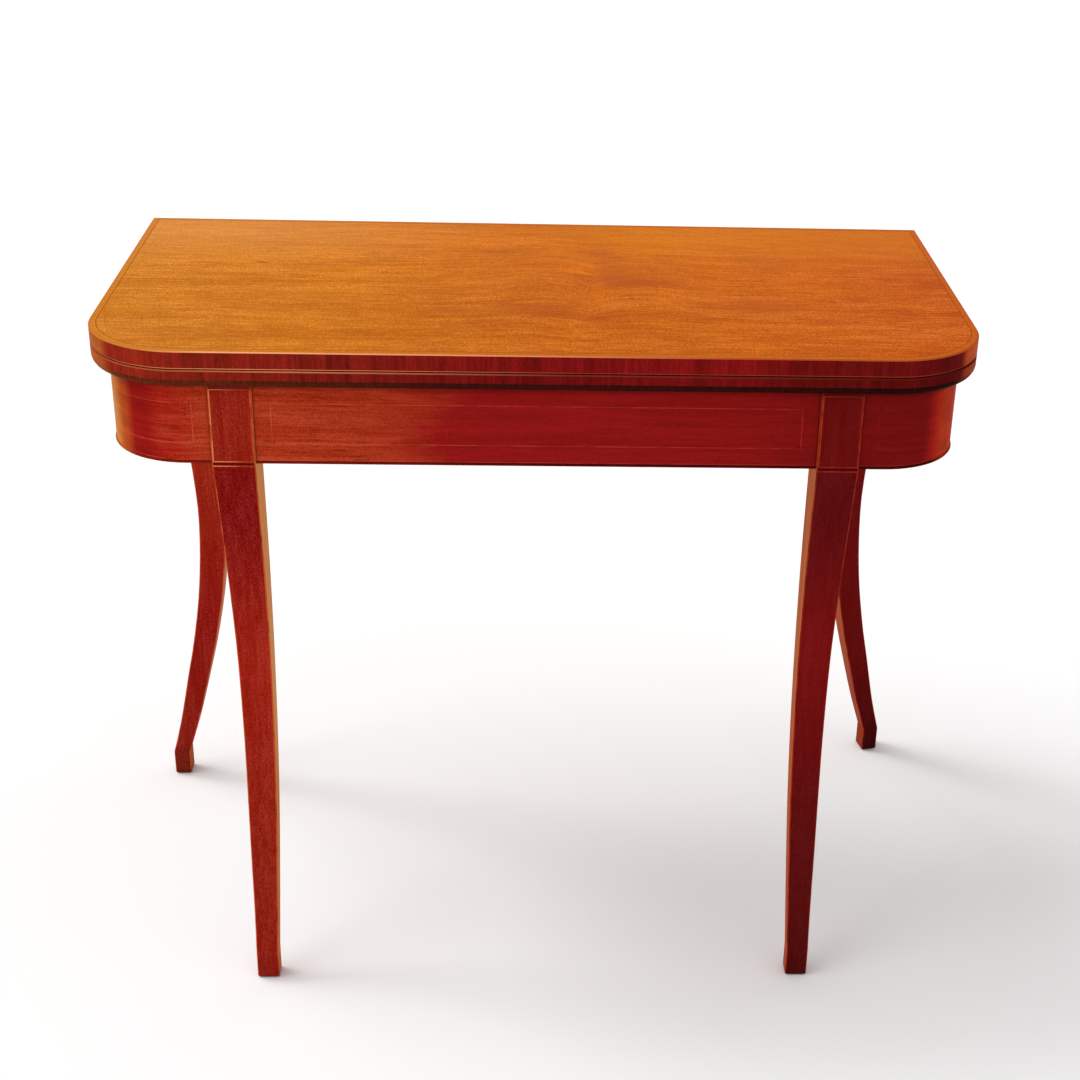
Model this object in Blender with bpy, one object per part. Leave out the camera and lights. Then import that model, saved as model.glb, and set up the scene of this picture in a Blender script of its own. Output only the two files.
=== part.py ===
"""Fold over card table: two D-shaped leaves on a bowed frame with sabre legs.

The upper leaf turns over on brass strap hinges at the back corners. The two
rear legs are fly legs: each stands on a rail that swings back on a wooden
knuckle joint, to carry the open leaf. Metres, +Z up, front of the table at -Y.
"""

import math

import bmesh
import bpy
from mathutils import Matrix, Vector

# Overall sizes
TABLE_WIDTH = 0.914
TABLE_DEPTH = 0.465
TABLE_HEIGHT = 0.740

# Clearances shared by all pieces
SEAT_GAP = 0.0003
FLY_CLEARANCE = 0.0006
CUT_OVERRUN = 0.004

# Leaves
LEAF_THICKNESS = 0.0185
LEAF_GAP = 0.0012
LEAF_CORNER_RADIUS = 0.101
LEAF_ARRIS = 0.0012
LEAF_MOULDING_HEIGHT = 0.0085
LEAF_MOULDING_INSET = 0.0080
LEAF_OVERHANG = 0.0175
BACK_OVERHANG = 0.0257
CORNER_STEPS = 16
MOULDING_STEPS = 4

# Baize linings of the playing surface
BAIZE_MARGIN = 0.036
BAIZE_THICKNESS = 0.0010
BAIZE_RECESS = 0.0013

# Leaf tenon
TENON_WIDTH = 0.040
TENON_THICKNESS = 0.0060
TENON_LENGTH = 0.0090
TENON_ROOT = 0.0150
TENON_STEPS = 6

# Strap hinges in the ends of the leaves
STRAP_LENGTH = 0.055
STRAP_HEIGHT = 0.0085
STRAP_THICKNESS = 0.0030
HINGE_EYE_RADIUS = 0.0058
HINGE_EYE_CLEARANCE = 0.0005
HINGE_PIN_RADIUS = 0.0018
HINGE_PIN_CLEARANCE = 0.00006
HINGE_BACK_CLEARANCE = 0.0002
HINGE_SCREW_SHARES = (0.36, 0.84)
EYE_STEPS = 32

# Screws
SCREW_HEAD_RADIUS = 0.0029
SCREW_HEAD_DEPTH = 0.0016
SCREW_SHANK_RADIUS = 0.0014
SCREW_TIP = 0.0030
SCREW_CLEARANCE = 0.0003
HINGE_SCREW_LENGTH = 0.014
POCKET_SCREW_LENGTH = 0.036
RAIL_SCREW_LENGTH = 0.034
SCREW_STEPS = 16

# Frame
FRIEZE_HEIGHT = 0.0865
RAIL_THICKNESS = 0.022
BEAD_HEIGHT = 0.0027
BEAD_DEPTH = 0.0070
BEAD_PROUD = 0.0012
BEAD_STEPS = 5
MEDIAL_RAIL_WIDTH = 0.022
MEDIAL_RAIL_DROP = 0.0080
HOUSING_DEPTH = 0.0060
BLOCK_SIZE = 0.032
BLOCK_INSET = 0.0100
REAR_BLOCK_LENGTH = 0.044
REAR_BLOCK_OVERLAP = 0.030

# Pockets for the screws that hold the lower leaf
POCKET_RADIUS = 0.0070
POCKET_ROOF_DEPTH = 0.0240
POCKET_HEIGHT = 0.030
POCKET_SCREW_INSET = 0.0062
FRONT_POCKET_SHARE = 0.50
BACK_POCKET_SHARE = 0.62
END_POCKET_SHARE = 0.42

# Fly rails and their knuckle joints
FLY_RAIL_REACH = 0.2275
KNUCKLE_FINGERS = 5
KNUCKLE_PIN_RADIUS = 0.0030
KNUCKLE_PIN_CLEARANCE = 0.00008
KNUCKLE_PIN_INSET = 0.0040
KNUCKLE_STEPS = 12
FLY_TENON_LENGTH = 0.028
FLY_TENON_THICKNESS = 0.0080
FLY_TENON_HEIGHT = 0.060
RIGHT_FLY_REST_ANGLE = math.radians(12.0)
RAIL_SCREW_SHARES = (0.25, 0.75)

# Legs
TABLET_WIDTH = 0.0435
TABLET_PROUD = 0.0050
LEG_HEAD_DEPTH = 0.0520
FRONT_LEG_INSET = 0.1496
FRONT_LEG_TOE_IN = 0.0060
FRONT_LEG_SWEEP = 0.0400
REAR_LEG_SWEEP = 0.0330
LEG_CHAMFER = 0.0012
FOOT_HEIGHT = 0.0330
FOOT_ROUNDING = 0.0018
LEG_RINGS = 26

# Leg shape: shares of the height from the foot to the frieze, and there the shares of the
# leg's sweep, of its head's depth and of its tablet's width
LEG_PLACE_SHARES = (0.0, 0.08, 0.20, 0.29, 0.41, 0.53, 0.63, 0.80, 1.0)
LEG_SWEEP_SHARES = (1.0, 0.625, 0.175, -0.165, -0.51, -0.70, -0.73, -0.49, 0.0)
LEG_DEPTH_SHARES = (0.40, 0.445, 0.515, 0.545, 0.58, 0.62, 0.66, 0.81, 1.0)
LEG_WIDTH_SHARES = (0.56, 0.60, 0.675, 0.72, 0.76, 0.80, 0.84, 0.915, 1.0)

# Levels and planes that follow from the sizes above
HALF_WIDTH = TABLE_WIDTH / 2
FRONT_EDGE = -TABLE_DEPTH / 2
BACK_EDGE = TABLE_DEPTH / 2
UPPER_LEAF_BOTTOM = TABLE_HEIGHT - LEAF_THICKNESS
LOWER_LEAF_TOP = UPPER_LEAF_BOTTOM - LEAF_GAP
LOWER_LEAF_BOTTOM = LOWER_LEAF_TOP - LEAF_THICKNESS
FRAME_TOP = LOWER_LEAF_BOTTOM - SEAT_GAP
FRAME_BOTTOM = FRAME_TOP - FRIEZE_HEIGHT
RAIL_BOTTOM = FRAME_BOTTOM + BEAD_HEIGHT + SEAT_GAP
FLY_TOP = FRAME_TOP - FLY_CLEARANCE
FRIEZE_FRONT = FRONT_EDGE + LEAF_OVERHANG
FRIEZE_END = HALF_WIDTH - LEAF_OVERHANG
FRIEZE_RADIUS = LEAF_CORNER_RADIUS - LEAF_OVERHANG
FRONT_LEG_PLACE = HALF_WIDTH - FRONT_LEG_INSET
REAR_LEG_PLACE = BACK_EDGE - BACK_OVERHANG - TABLET_WIDTH / 2
FLY_BACK = REAR_LEG_PLACE + TABLET_WIDTH / 2
FLY_FRONT = FLY_BACK - RAIL_THICKNESS
INNER_RAIL_BACK = FLY_FRONT - SEAT_GAP
INNER_RAIL_FRONT = INNER_RAIL_BACK - RAIL_THICKNESS
END_RAIL_STOP = REAR_LEG_PLACE - TABLET_WIDTH / 2 - FLY_CLEARANCE
LEG_HEAD_INNER = FRIEZE_END + TABLET_PROUD - LEG_HEAD_DEPTH
KNUCKLE_PLACE = LEG_HEAD_INNER - FLY_RAIL_REACH
KNUCKLE_Y = FLY_BACK - RAIL_THICKNESS / 2
KNUCKLE_RADIUS = RAIL_THICKNESS / 2
PIVOT_Y = BACK_EDGE + HINGE_BACK_CLEARANCE
PIVOT_Z = (UPPER_LEAF_BOTTOM + LOWER_LEAF_TOP) / 2
SIDES = (("left", -1), ("right", 1))

# Finishes: base colour, roughness, metallic
FINISHES = {
    "golden_mahogany": ((0.60, 0.21, 0.035), 0.28, 0.0),
    "red_mahogany": ((0.27, 0.030, 0.010), 0.30, 0.0),
    "pine": ((0.55, 0.36, 0.17), 0.65, 0.0),
    "beech": ((0.50, 0.30, 0.14), 0.60, 0.0),
    "baize": ((0.03, 0.16, 0.06), 0.95, 0.0),
    "brass": ((0.72, 0.50, 0.20), 0.35, 1.0),
    "iron": ((0.25, 0.24, 0.23), 0.50, 1.0),
}


def clear_scene():
    for old in list(bpy.data.objects):
        bpy.data.objects.remove(old, do_unlink=True)


def finish(name):
    material = bpy.data.materials.get(name)
    if material is None:
        colour, roughness, metallic = FINISHES[name]
        material = bpy.data.materials.new(name)
        material.use_nodes = True
        shader = material.node_tree.nodes["Principled BSDF"]
        shader.inputs["Base Color"].default_value = (*colour, 1.0)
        shader.inputs["Roughness"].default_value = roughness
        shader.inputs["Metallic"].default_value = metallic
    return material


def add_object(name, mesh, finish_name=None, smooth=True):
    """Put a mesh in the scene. Without a finish it is a cutter, which isn't rendered."""
    made = bpy.data.objects.new(name, mesh)
    bpy.context.scene.collection.objects.link(made)
    if finish_name is None:
        made.hide_render = True
        made.display_type = "WIRE"
    else:
        mesh.materials.append(finish(finish_name))
        if smooth:
            mesh.shade_smooth()
            mesh.set_sharp_from_angle(angle=math.radians(35))
    return made


def mesh_from(bm, name):
    bmesh.ops.recalc_face_normals(bm, faces=bm.faces)
    mesh = bpy.data.meshes.new(name)
    bm.to_mesh(mesh)
    bm.free()
    return mesh


def add_loft(bm, rings):
    """Join closed rings of points, all of the same count, and cap both ends."""
    rows = [[bm.verts.new(point) for point in ring] for ring in rings]
    count = len(rows[0])
    for low, high in zip(rows, rows[1:]):
        for i in range(count):
            j = (i + 1) % count
            bm.faces.new((low[i], low[j], high[j], high[i]))
    bm.faces.new(rows[0][::-1])
    bm.faces.new(rows[-1])


def loft(name, rings):
    bm = bmesh.new()
    add_loft(bm, rings)
    return mesh_from(bm, name)


def add_prism(bm, outline, bottom, top):
    add_loft(bm, [[(x, y, z) for x, y in outline] for z in (bottom, top)])


def prism(name, outline, bottom, top):
    bm = bmesh.new()
    add_prism(bm, outline, bottom, top)
    return mesh_from(bm, name)


def add_box(bm, low, high):
    outline = [(low[0], low[1]), (high[0], low[1]), (high[0], high[1]), (low[0], high[1])]
    add_prism(bm, outline, low[2], high[2])


def box(name, low, high):
    bm = bmesh.new()
    add_box(bm, low, high)
    return mesh_from(bm, name)


def circle(radius, steps):
    turns = [2 * math.pi * i / steps for i in range(steps)]
    return [(radius * math.cos(turn), radius * math.sin(turn)) for turn in turns]


def add_rod(bm, start, direction, stations, steps):
    """Turned piece: stations are (distance along direction, radius)."""
    turn = Vector((0, 0, 1)).rotation_difference(Vector(direction)).to_matrix()
    rings = []
    for distance, radius in stations:
        ring = [turn @ Vector((x, y, distance)) + Vector(start) for x, y in circle(radius, steps)]
        rings.append(ring)
    add_loft(bm, rings)


def rod(name, start, direction, stations, steps):
    bm = bmesh.new()
    add_rod(bm, start, direction, stations, steps)
    return mesh_from(bm, name)


def boolean(target, other, operation="DIFFERENCE"):
    modifier = target.modifiers.new(other.name, "BOOLEAN")
    modifier.operation = operation
    modifier.solver = "EXACT"
    modifier.object = other


def mirrored(point, side):
    return (side * point[0], point[1], point[2])


def span(first, second):
    return min(first, second), max(first, second)


def sided_box(bm, side, x_range, y_range, z_range):
    """A box given for the right side, mirrored for the left one."""
    left, right = span(side * x_range[0], side * x_range[1])
    add_box(bm, (left, y_range[0], z_range[0]), (right, y_range[1], z_range[1]))


# Leaves


def leaf_outline(inset, back=BACK_EDGE):
    """D shape: round front corners, square back corners. The back edge isn't inset."""
    radius = LEAF_CORNER_RADIUS - inset
    half = HALF_WIDTH - inset
    front = FRONT_EDGE + inset
    points = [(-half, back)]
    for step in range(CORNER_STEPS + 1):
        turn = math.pi + math.pi / 2 * step / CORNER_STEPS
        x = -half + radius + radius * math.cos(turn)
        y = front + radius + radius * math.sin(turn)
        points.append((x, y))
    points += [(-x, y) for x, y in reversed(points)]
    return points


def leaf_mesh(name, bottom, profile):
    """Loft of the outline through (inset, height) pairs."""
    rings = []
    for inset, height in profile:
        rings.append([(x, y, bottom + height) for x, y in leaf_outline(inset)])
    return loft(name, rings)


def upper_leaf_profile():
    return [
        (LEAF_ARRIS, 0),
        (0, LEAF_ARRIS),
        (0, LEAF_THICKNESS - LEAF_ARRIS),
        (LEAF_ARRIS, LEAF_THICKNESS),
    ]


def lower_leaf_profile():
    """A plain edge over a rounded moulding, which draws in to the underside."""
    points = []
    for step in range(MOULDING_STEPS + 1):
        turn = math.pi / 2 * step / MOULDING_STEPS
        inset = LEAF_MOULDING_INSET * (1 - math.sin(turn))
        points.append((inset, LEAF_MOULDING_HEIGHT * (1 - math.cos(turn))))
    points.append((0, LEAF_THICKNESS - LEAF_ARRIS))
    points.append((LEAF_ARRIS, LEAF_THICKNESS))
    return points


def baize_outline(margin):
    return leaf_outline(margin, BACK_EDGE - margin)


def make_baize(name, bottom):
    mesh = prism(name, baize_outline(BAIZE_MARGIN + SEAT_GAP), bottom, bottom + BAIZE_THICKNESS)
    return add_object(name, mesh, "baize")


def screw_stations(length):
    return [
        (0, SCREW_HEAD_RADIUS),
        (SCREW_HEAD_DEPTH, SCREW_SHANK_RADIUS),
        (length - SCREW_TIP, SCREW_SHANK_RADIUS),
        (length, SCREW_SHANK_RADIUS / 4),
    ]


def screw_hole_stations(length):
    """The hole of a countersunk screw, open past the head's face."""
    wide = SCREW_HEAD_RADIUS + SCREW_CLEARANCE
    narrow = SCREW_SHANK_RADIUS + SCREW_CLEARANCE
    return [
        (-CUT_OVERRUN, wide),
        (SCREW_CLEARANCE, wide),
        (SCREW_HEAD_DEPTH + SCREW_CLEARANCE, narrow),
        (length + SCREW_CLEARANCE, narrow),
    ]


def make_screw(name, start, direction, length):
    mesh = rod(name, start, direction, screw_stations(length), SCREW_STEPS)
    return add_object(name, mesh, "iron")


def screw_cutter(name, places, length):
    bm = bmesh.new()
    for start, direction in places:
        add_rod(bm, start, direction, screw_hole_stations(length), SCREW_STEPS)
    return add_object(name, mesh_from(bm, name))


def hinge_screw_places(side, level):
    """Two screws through a strap, driven in from the end of the leaf."""
    height = PIVOT_Z + level * (LEAF_GAP / 2 + SEAT_GAP + STRAP_HEIGHT / 2)
    places = []
    for share in HINGE_SCREW_SHARES:
        start = mirrored((HALF_WIDTH, PIVOT_Y - share * STRAP_LENGTH, height), side)
        places.append((start, (-side, 0, 0)))
    return places


def strap_ranges(level, clearance):
    """Y and Z range of a strap, level 1 in the upper leaf and -1 in the lower one."""
    near = PIVOT_Z + level * (LEAF_GAP / 2 + SEAT_GAP - clearance)
    far = PIVOT_Z + level * (LEAF_GAP / 2 + SEAT_GAP + STRAP_HEIGHT + clearance)
    return (PIVOT_Y - STRAP_LENGTH - clearance, PIVOT_Y), span(near, far)


def pivot_disc(bm, side, inner, outer, radius):
    start = mirrored((inner, PIVOT_Y, PIVOT_Z), side)
    add_rod(bm, start, (side, 0, 0), [(0, radius), (outer - inner, radius)], EYE_STEPS)


def make_hinge_plate(side_name, side, level):
    """Strap with a half-lapped eye: the lower plate's eye is the outer lap."""
    lap = HALF_WIDTH - STRAP_THICKNESS / 2
    back = HALF_WIDTH - STRAP_THICKNESS
    eye_range = (lap + SEAT_GAP / 2, HALF_WIDTH) if level < 0 else (back, lap - SEAT_GAP / 2)
    clear_range = (back - CUT_OVERRUN, lap) if level < 0 else (lap, HALF_WIDTH + CUT_OVERRUN)
    which = "lower" if level < 0 else "upper"
    name = f"hinge_{which}_plate_{side_name}"
    y_range, z_range = strap_ranges(level, 0)
    bm = bmesh.new()
    sided_box(bm, side, (back, HALF_WIDTH), y_range, z_range)
    plate = add_object(name, mesh_from(bm, name), "brass")
    parts = {
        "lap": (clear_range, HINGE_EYE_RADIUS + HINGE_EYE_CLEARANCE, "DIFFERENCE"),
        "eye": (eye_range, HINGE_EYE_RADIUS, "UNION"),
        "pin_hole": (
            (back - CUT_OVERRUN, HALF_WIDTH + CUT_OVERRUN),
            HINGE_PIN_RADIUS + HINGE_PIN_CLEARANCE,
            "DIFFERENCE",
        ),
    }
    for part, (x_range, radius, operation) in parts.items():
        bm = bmesh.new()
        pivot_disc(bm, side, *x_range, radius)
        boolean(plate, add_object(f"{name}_{part}", mesh_from(bm, part)), operation)
    places = hinge_screw_places(side, level)
    boolean(plate, screw_cutter(f"{name}_screw_holes", places, HINGE_SCREW_LENGTH))
    for number, (start, direction) in enumerate(places, 1):
        screw_name = f"hinge_screw_{which}_{side_name}_{number}"
        make_screw(screw_name, start, direction, HINGE_SCREW_LENGTH)


def make_hinges():
    for side_name, side in SIDES:
        for level in (-1, 1):
            make_hinge_plate(side_name, side, level)
        name = f"hinge_pin_{side_name}"
        bm = bmesh.new()
        pivot_disc(bm, side, HALF_WIDTH - STRAP_THICKNESS, HALF_WIDTH, HINGE_PIN_RADIUS)
        add_object(name, mesh_from(bm, name), "brass")


def cut_hinge_pockets(leaf, level):
    straps, eyes = bmesh.new(), bmesh.new()
    pocket = HALF_WIDTH - STRAP_THICKNESS - SEAT_GAP
    y_range, z_range = strap_ranges(level, SEAT_GAP)
    reach = LEAF_GAP
    z_range = (z_range[0] - reach, z_range[1]) if level > 0 else (z_range[0], z_range[1] + reach)
    places = []
    for _, side in SIDES:
        x_range = (pocket, HALF_WIDTH + CUT_OVERRUN)
        sided_box(straps, side, x_range, (y_range[0], y_range[1] + CUT_OVERRUN), z_range)
        pivot_disc(eyes, side, *x_range, HINGE_EYE_RADIUS + HINGE_EYE_CLEARANCE)
        places += hinge_screw_places(side, level)
    boolean(leaf, add_object(f"{leaf.name}_strap_pockets", mesh_from(straps, "straps")))
    boolean(leaf, add_object(f"{leaf.name}_eye_pockets", mesh_from(eyes, "eyes")))
    boolean(leaf, screw_cutter(f"{leaf.name}_hinge_screw_holes", places, HINGE_SCREW_LENGTH))


def cut_baize_recess(leaf, bottom, top):
    outline = baize_outline(BAIZE_MARGIN)
    boolean(leaf, add_object(f"{leaf.name}_recess", prism("recess", outline, bottom, top)))


def tenon_profile():
    """(y, z) points. The outer face follows an arc about the hinge, so it enters its mortise."""
    near = LEAF_GAP / 2 + (LEAF_THICKNESS - TENON_THICKNESS) / 2
    radius = near + TENON_THICKNESS
    points = [(BACK_EDGE - TENON_ROOT, PIVOT_Z + near)]
    points.append((PIVOT_Y + TENON_LENGTH, PIVOT_Z + near))
    last = math.asin(min(1.0, TENON_LENGTH / radius))
    for step in range(TENON_STEPS + 1):
        turn = last * (1 - step / TENON_STEPS)
        points.append((PIVOT_Y + radius * math.sin(turn), PIVOT_Z + radius * math.cos(turn)))
    points.append((BACK_EDGE - TENON_ROOT, PIVOT_Z + radius))
    return points


def make_leaf_tenon():
    half = TENON_WIDTH / 2
    rings = [[(x, y, z) for y, z in tenon_profile()] for x in (-half, half)]
    add_object("leaf_tenon", loft("leaf_tenon", rings), "beech")


def cut_tenon_mortise(leaf, level, depth):
    near = LEAF_GAP / 2 + (LEAF_THICKNESS - TENON_THICKNESS) / 2
    z_range = span(PIVOT_Z + level * (near - SEAT_GAP),
                   PIVOT_Z + level * (near + TENON_THICKNESS + SEAT_GAP))
    half = TENON_WIDTH / 2 + SEAT_GAP
    low = (-half, BACK_EDGE - depth - SEAT_GAP, z_range[0])
    high = (half, BACK_EDGE + CUT_OVERRUN, z_range[1])
    boolean(leaf, add_object(f"{leaf.name}_mortise", box("mortise", low, high)))


def make_leaves():
    upper = add_object(
        "upper_leaf",
        leaf_mesh("upper_leaf", UPPER_LEAF_BOTTOM, upper_leaf_profile()),
        "golden_mahogany",
    )
    cut_baize_recess(upper, UPPER_LEAF_BOTTOM - CUT_OVERRUN, UPPER_LEAF_BOTTOM + BAIZE_RECESS)
    cut_hinge_pockets(upper, 1)
    cut_tenon_mortise(upper, 1, TENON_ROOT)
    lower = add_object(
        "lower_leaf",
        leaf_mesh("lower_leaf", LOWER_LEAF_BOTTOM, lower_leaf_profile()),
        "red_mahogany",
    )
    cut_baize_recess(lower, LOWER_LEAF_TOP - BAIZE_RECESS, LOWER_LEAF_TOP + CUT_OVERRUN)
    cut_hinge_pockets(lower, -1)
    cut_tenon_mortise(lower, -1, TENON_LENGTH)
    make_baize("baize_upper", UPPER_LEAF_BOTTOM + BAIZE_RECESS - SEAT_GAP - BAIZE_THICKNESS)
    make_baize("baize_lower", LOWER_LEAF_TOP - BAIZE_RECESS + SEAT_GAP)
    make_leaf_tenon()
    return lower


# Frame


def end_stations(start, stop):
    """Places on the right end's outer face, with the outward direction there."""
    stations = [((start, FRIEZE_FRONT), (0, -1))]
    centre = (FRIEZE_END - FRIEZE_RADIUS, FRIEZE_FRONT + FRIEZE_RADIUS)
    for step in range(CORNER_STEPS + 1):
        turn = -math.pi / 2 + math.pi / 2 * step / CORNER_STEPS
        away = (math.cos(turn), math.sin(turn))
        place = (centre[0] + FRIEZE_RADIUS * away[0], centre[1] + FRIEZE_RADIUS * away[1])
        stations.append((place, away))
    stations.append(((FRIEZE_END, stop), (1, 0)))
    return stations


def offset(stations, distance, side):
    return [(side * (x + distance * u), y + distance * v) for (x, y), (u, v) in stations]


def end_rail_outline(side):
    """The rail ends behind the leg, where it is housed to let the leg's cheek in."""
    start = FRONT_LEG_PLACE + SEAT_GAP
    shoulder = FRONT_LEG_PLACE + TABLET_WIDTH / 2 + SEAT_GAP
    stations = end_stations(shoulder, END_RAIL_STOP)
    outer = offset(stations, 0, side)
    housed = FRIEZE_FRONT + HOUSING_DEPTH
    housing = [(side * start, housed), (side * shoulder, housed)]
    inner = offset(stations, -RAIL_THICKNESS, side)
    inner[0] = (side * start, FRIEZE_FRONT + RAIL_THICKNESS)
    return housing + outer + inner[::-1]


def front_rail_outline():
    stop = FRONT_LEG_PLACE - SEAT_GAP
    shoulder = FRONT_LEG_PLACE - TABLET_WIDTH / 2 - SEAT_GAP
    housed = FRIEZE_FRONT + HOUSING_DEPTH
    inner = FRIEZE_FRONT + RAIL_THICKNESS
    right = [(shoulder, FRIEZE_FRONT), (shoulder, housed), (stop, housed), (stop, inner)]
    return right + [(-x, y) for x, y in reversed(right)]


def pocket_places():
    """(place of the screw, direction to the inside of the frame) for each pocket."""
    inset = POCKET_SCREW_INSET
    front = FRIEZE_FRONT + RAIL_THICKNESS - inset
    front_x = FRONT_POCKET_SHARE * FRONT_LEG_PLACE
    back_x = BACK_POCKET_SHARE * LEG_HEAD_INNER
    end_y = FRIEZE_FRONT + FRIEZE_RADIUS
    end_y += END_POCKET_SHARE * (END_RAIL_STOP - end_y)
    end_x = FRIEZE_END - RAIL_THICKNESS + inset
    return {
        "front_rail": [((-front_x, front), (0, 1)), ((front_x, front), (0, 1))],
        "inner_back_rail": [
            ((-back_x, INNER_RAIL_FRONT + inset), (0, -1)),
            ((back_x, INNER_RAIL_FRONT + inset), (0, -1)),
        ],
        "end_rail_left": [((-end_x, end_y), (1, 0))],
        "end_rail_right": [((end_x, end_y), (-1, 0))],
    }


def pocket_outline(place, inward):
    """Round behind the screw, and open to the inside of the frame."""
    points = []
    across = (-inward[1], inward[0])
    for step in range(KNUCKLE_STEPS + 1):
        turn = math.pi * step / KNUCKLE_STEPS
        along = -POCKET_RADIUS * math.sin(turn)
        aside = POCKET_RADIUS * math.cos(turn)
        points.append((along, aside))
    reach = POCKET_SCREW_INSET + CUT_OVERRUN
    points += [(reach, -POCKET_RADIUS), (reach, POCKET_RADIUS)]
    x, y = place
    return [
        (x + a * inward[0] + b * across[0], y + a * inward[1] + b * across[1]) for a, b in points
    ]


def cut_pockets(rail, places):
    roof = FRAME_TOP - POCKET_ROOF_DEPTH
    pockets = bmesh.new()
    for place, inward in places:
        add_prism(pockets, pocket_outline(place, inward), roof - POCKET_HEIGHT, roof)
    boolean(rail, add_object(f"{rail.name}_pockets", mesh_from(pockets, "pockets")))
    screws = [((*place, roof), (0, 0, 1)) for place, _ in places]
    boolean(rail, screw_cutter(f"{rail.name}_pocket_holes", screws, POCKET_SCREW_LENGTH))
    return screws


def make_rails(lower_leaf):
    outlines = {
        "front_rail": front_rail_outline(),
        "inner_back_rail": [
            (-LEG_HEAD_INNER + FLY_CLEARANCE, INNER_RAIL_FRONT),
            (LEG_HEAD_INNER - FLY_CLEARANCE, INNER_RAIL_FRONT),
            (LEG_HEAD_INNER - FLY_CLEARANCE, INNER_RAIL_BACK),
            (-LEG_HEAD_INNER + FLY_CLEARANCE, INNER_RAIL_BACK),
        ],
        "end_rail_left": end_rail_outline(-1),
        "end_rail_right": end_rail_outline(1),
    }
    looks = {"inner_back_rail": "pine"}
    places = pocket_places()
    leaf_screws, rails = [], {}
    for name, outline in outlines.items():
        mesh = prism(name, outline, RAIL_BOTTOM, FRAME_TOP)
        rails[name] = add_object(name, mesh, looks.get(name, "red_mahogany"))
        leaf_screws += cut_pockets(rails[name], places[name])
    boolean(lower_leaf, screw_cutter("lower_leaf_pocket_holes", leaf_screws, POCKET_SCREW_LENGTH))
    for number, (start, direction) in enumerate(leaf_screws, 1):
        make_screw(f"pocket_screw_{number}", start, direction, POCKET_SCREW_LENGTH)
    return rails


def bead_profile():
    """(distance out of the frieze, height) points of the bead, round on its outer side."""
    points = [(-BEAD_DEPTH + BEAD_PROUD, 0)]
    for step in range(BEAD_STEPS + 1):
        turn = math.pi * step / BEAD_STEPS
        out = BEAD_PROUD * math.sin(turn)
        points.append((out, BEAD_HEIGHT / 2 * (1 - math.cos(turn))))
    points.append((-BEAD_DEPTH + BEAD_PROUD, BEAD_HEIGHT))
    return points


def make_bead(name, stations, side):
    rings = []
    for (x, y), (u, v) in stations:
        ring = [(side * (x + d * u), y + d * v, FRAME_BOTTOM + h) for d, h in bead_profile()]
        rings.append(ring)
    add_object(name, loft(name, rings), "red_mahogany")


def make_beads():
    leg_side = TABLET_WIDTH / 2 + SEAT_GAP
    stop = FRONT_LEG_PLACE - leg_side
    make_bead("bead_front", [((-stop, FRIEZE_FRONT), (0, -1)), ((stop, FRIEZE_FRONT), (0, -1))], 1)
    for side_name, side in SIDES:
        stations = end_stations(FRONT_LEG_PLACE + leg_side, END_RAIL_STOP)
        make_bead(f"bead_{side_name}", stations, side)


def make_medial_rail():
    half = MEDIAL_RAIL_WIDTH / 2
    low = (-half, FRIEZE_FRONT + RAIL_THICKNESS + SEAT_GAP, RAIL_BOTTOM + MEDIAL_RAIL_DROP)
    high = (half, INNER_RAIL_FRONT - SEAT_GAP, FRAME_TOP)
    add_object("medial_rail", box("medial_rail", low, high), "pine")


def make_blocks():
    bottom, top = RAIL_BOTTOM + BLOCK_INSET, FRAME_TOP - BLOCK_INSET
    for side_name, side in SIDES:
        face = FRONT_LEG_PLACE - TABLET_WIDTH / 2 - SEAT_GAP
        rail = FRIEZE_FRONT + RAIL_THICKNESS + SEAT_GAP
        outline = [(face, rail), (face, rail + BLOCK_SIZE), (face - BLOCK_SIZE, rail)]
        outline = [(side * x, y) for x, y in outline]
        name = f"front_block_{side_name}"
        add_object(name, prism(name, outline, bottom, top), "pine")
        end = FRIEZE_END - RAIL_THICKNESS - SEAT_GAP
        head = LEG_HEAD_INNER - SEAT_GAP
        back = INNER_RAIL_FRONT - SEAT_GAP
        outline = [
            (end, END_RAIL_STOP),
            (head, END_RAIL_STOP),
            (head, back),
            (head - REAR_BLOCK_OVERLAP, back),
            (end, END_RAIL_STOP - REAR_BLOCK_LENGTH),
        ]
        outline = [(side * x, y) for x, y in outline]
        name = f"rear_block_{side_name}"
        add_object(name, prism(name, outline, bottom, top), "pine")


# Fly rails


def finger_levels(own):
    """Heights of the fingers that one half of the knuckle owns, with running clearance."""
    step = (FLY_TOP - RAIL_BOTTOM) / KNUCKLE_FINGERS
    levels = []
    for number in range(KNUCKLE_FINGERS):
        if number % 2 == own:
            low = RAIL_BOTTOM + number * step + FLY_CLEARANCE / 2
            levels.append((low, low + step - FLY_CLEARANCE))
    return levels


def finger_outline(side, reach):
    """A bar from the rail's shoulder to the pin, with a round end. reach is -1 or 1 from the pin."""
    points = []
    for step in range(KNUCKLE_STEPS + 1):
        turn = -math.pi / 2 + math.pi * step / KNUCKLE_STEPS
        x = -reach * KNUCKLE_RADIUS * math.cos(turn)
        points.append((KNUCKLE_PLACE + x, KNUCKLE_Y + KNUCKLE_RADIUS * math.sin(turn)))
    root = KNUCKLE_PLACE + reach * (KNUCKLE_RADIUS + CUT_OVERRUN)
    points += [(root, KNUCKLE_Y + KNUCKLE_RADIUS), (root, KNUCKLE_Y - KNUCKLE_RADIUS)]
    return [(side * x, y) for x, y in points]


def add_fingers(rail, side, reach, own):
    for number, (low, high) in enumerate(finger_levels(own), 1):
        name = f"{rail.name}_finger_{'left' if side < 0 else 'right'}_{number}"
        finger = add_object(name, prism(name, finger_outline(side, reach), low, high))
        boolean(rail, finger, "UNION")


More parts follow.
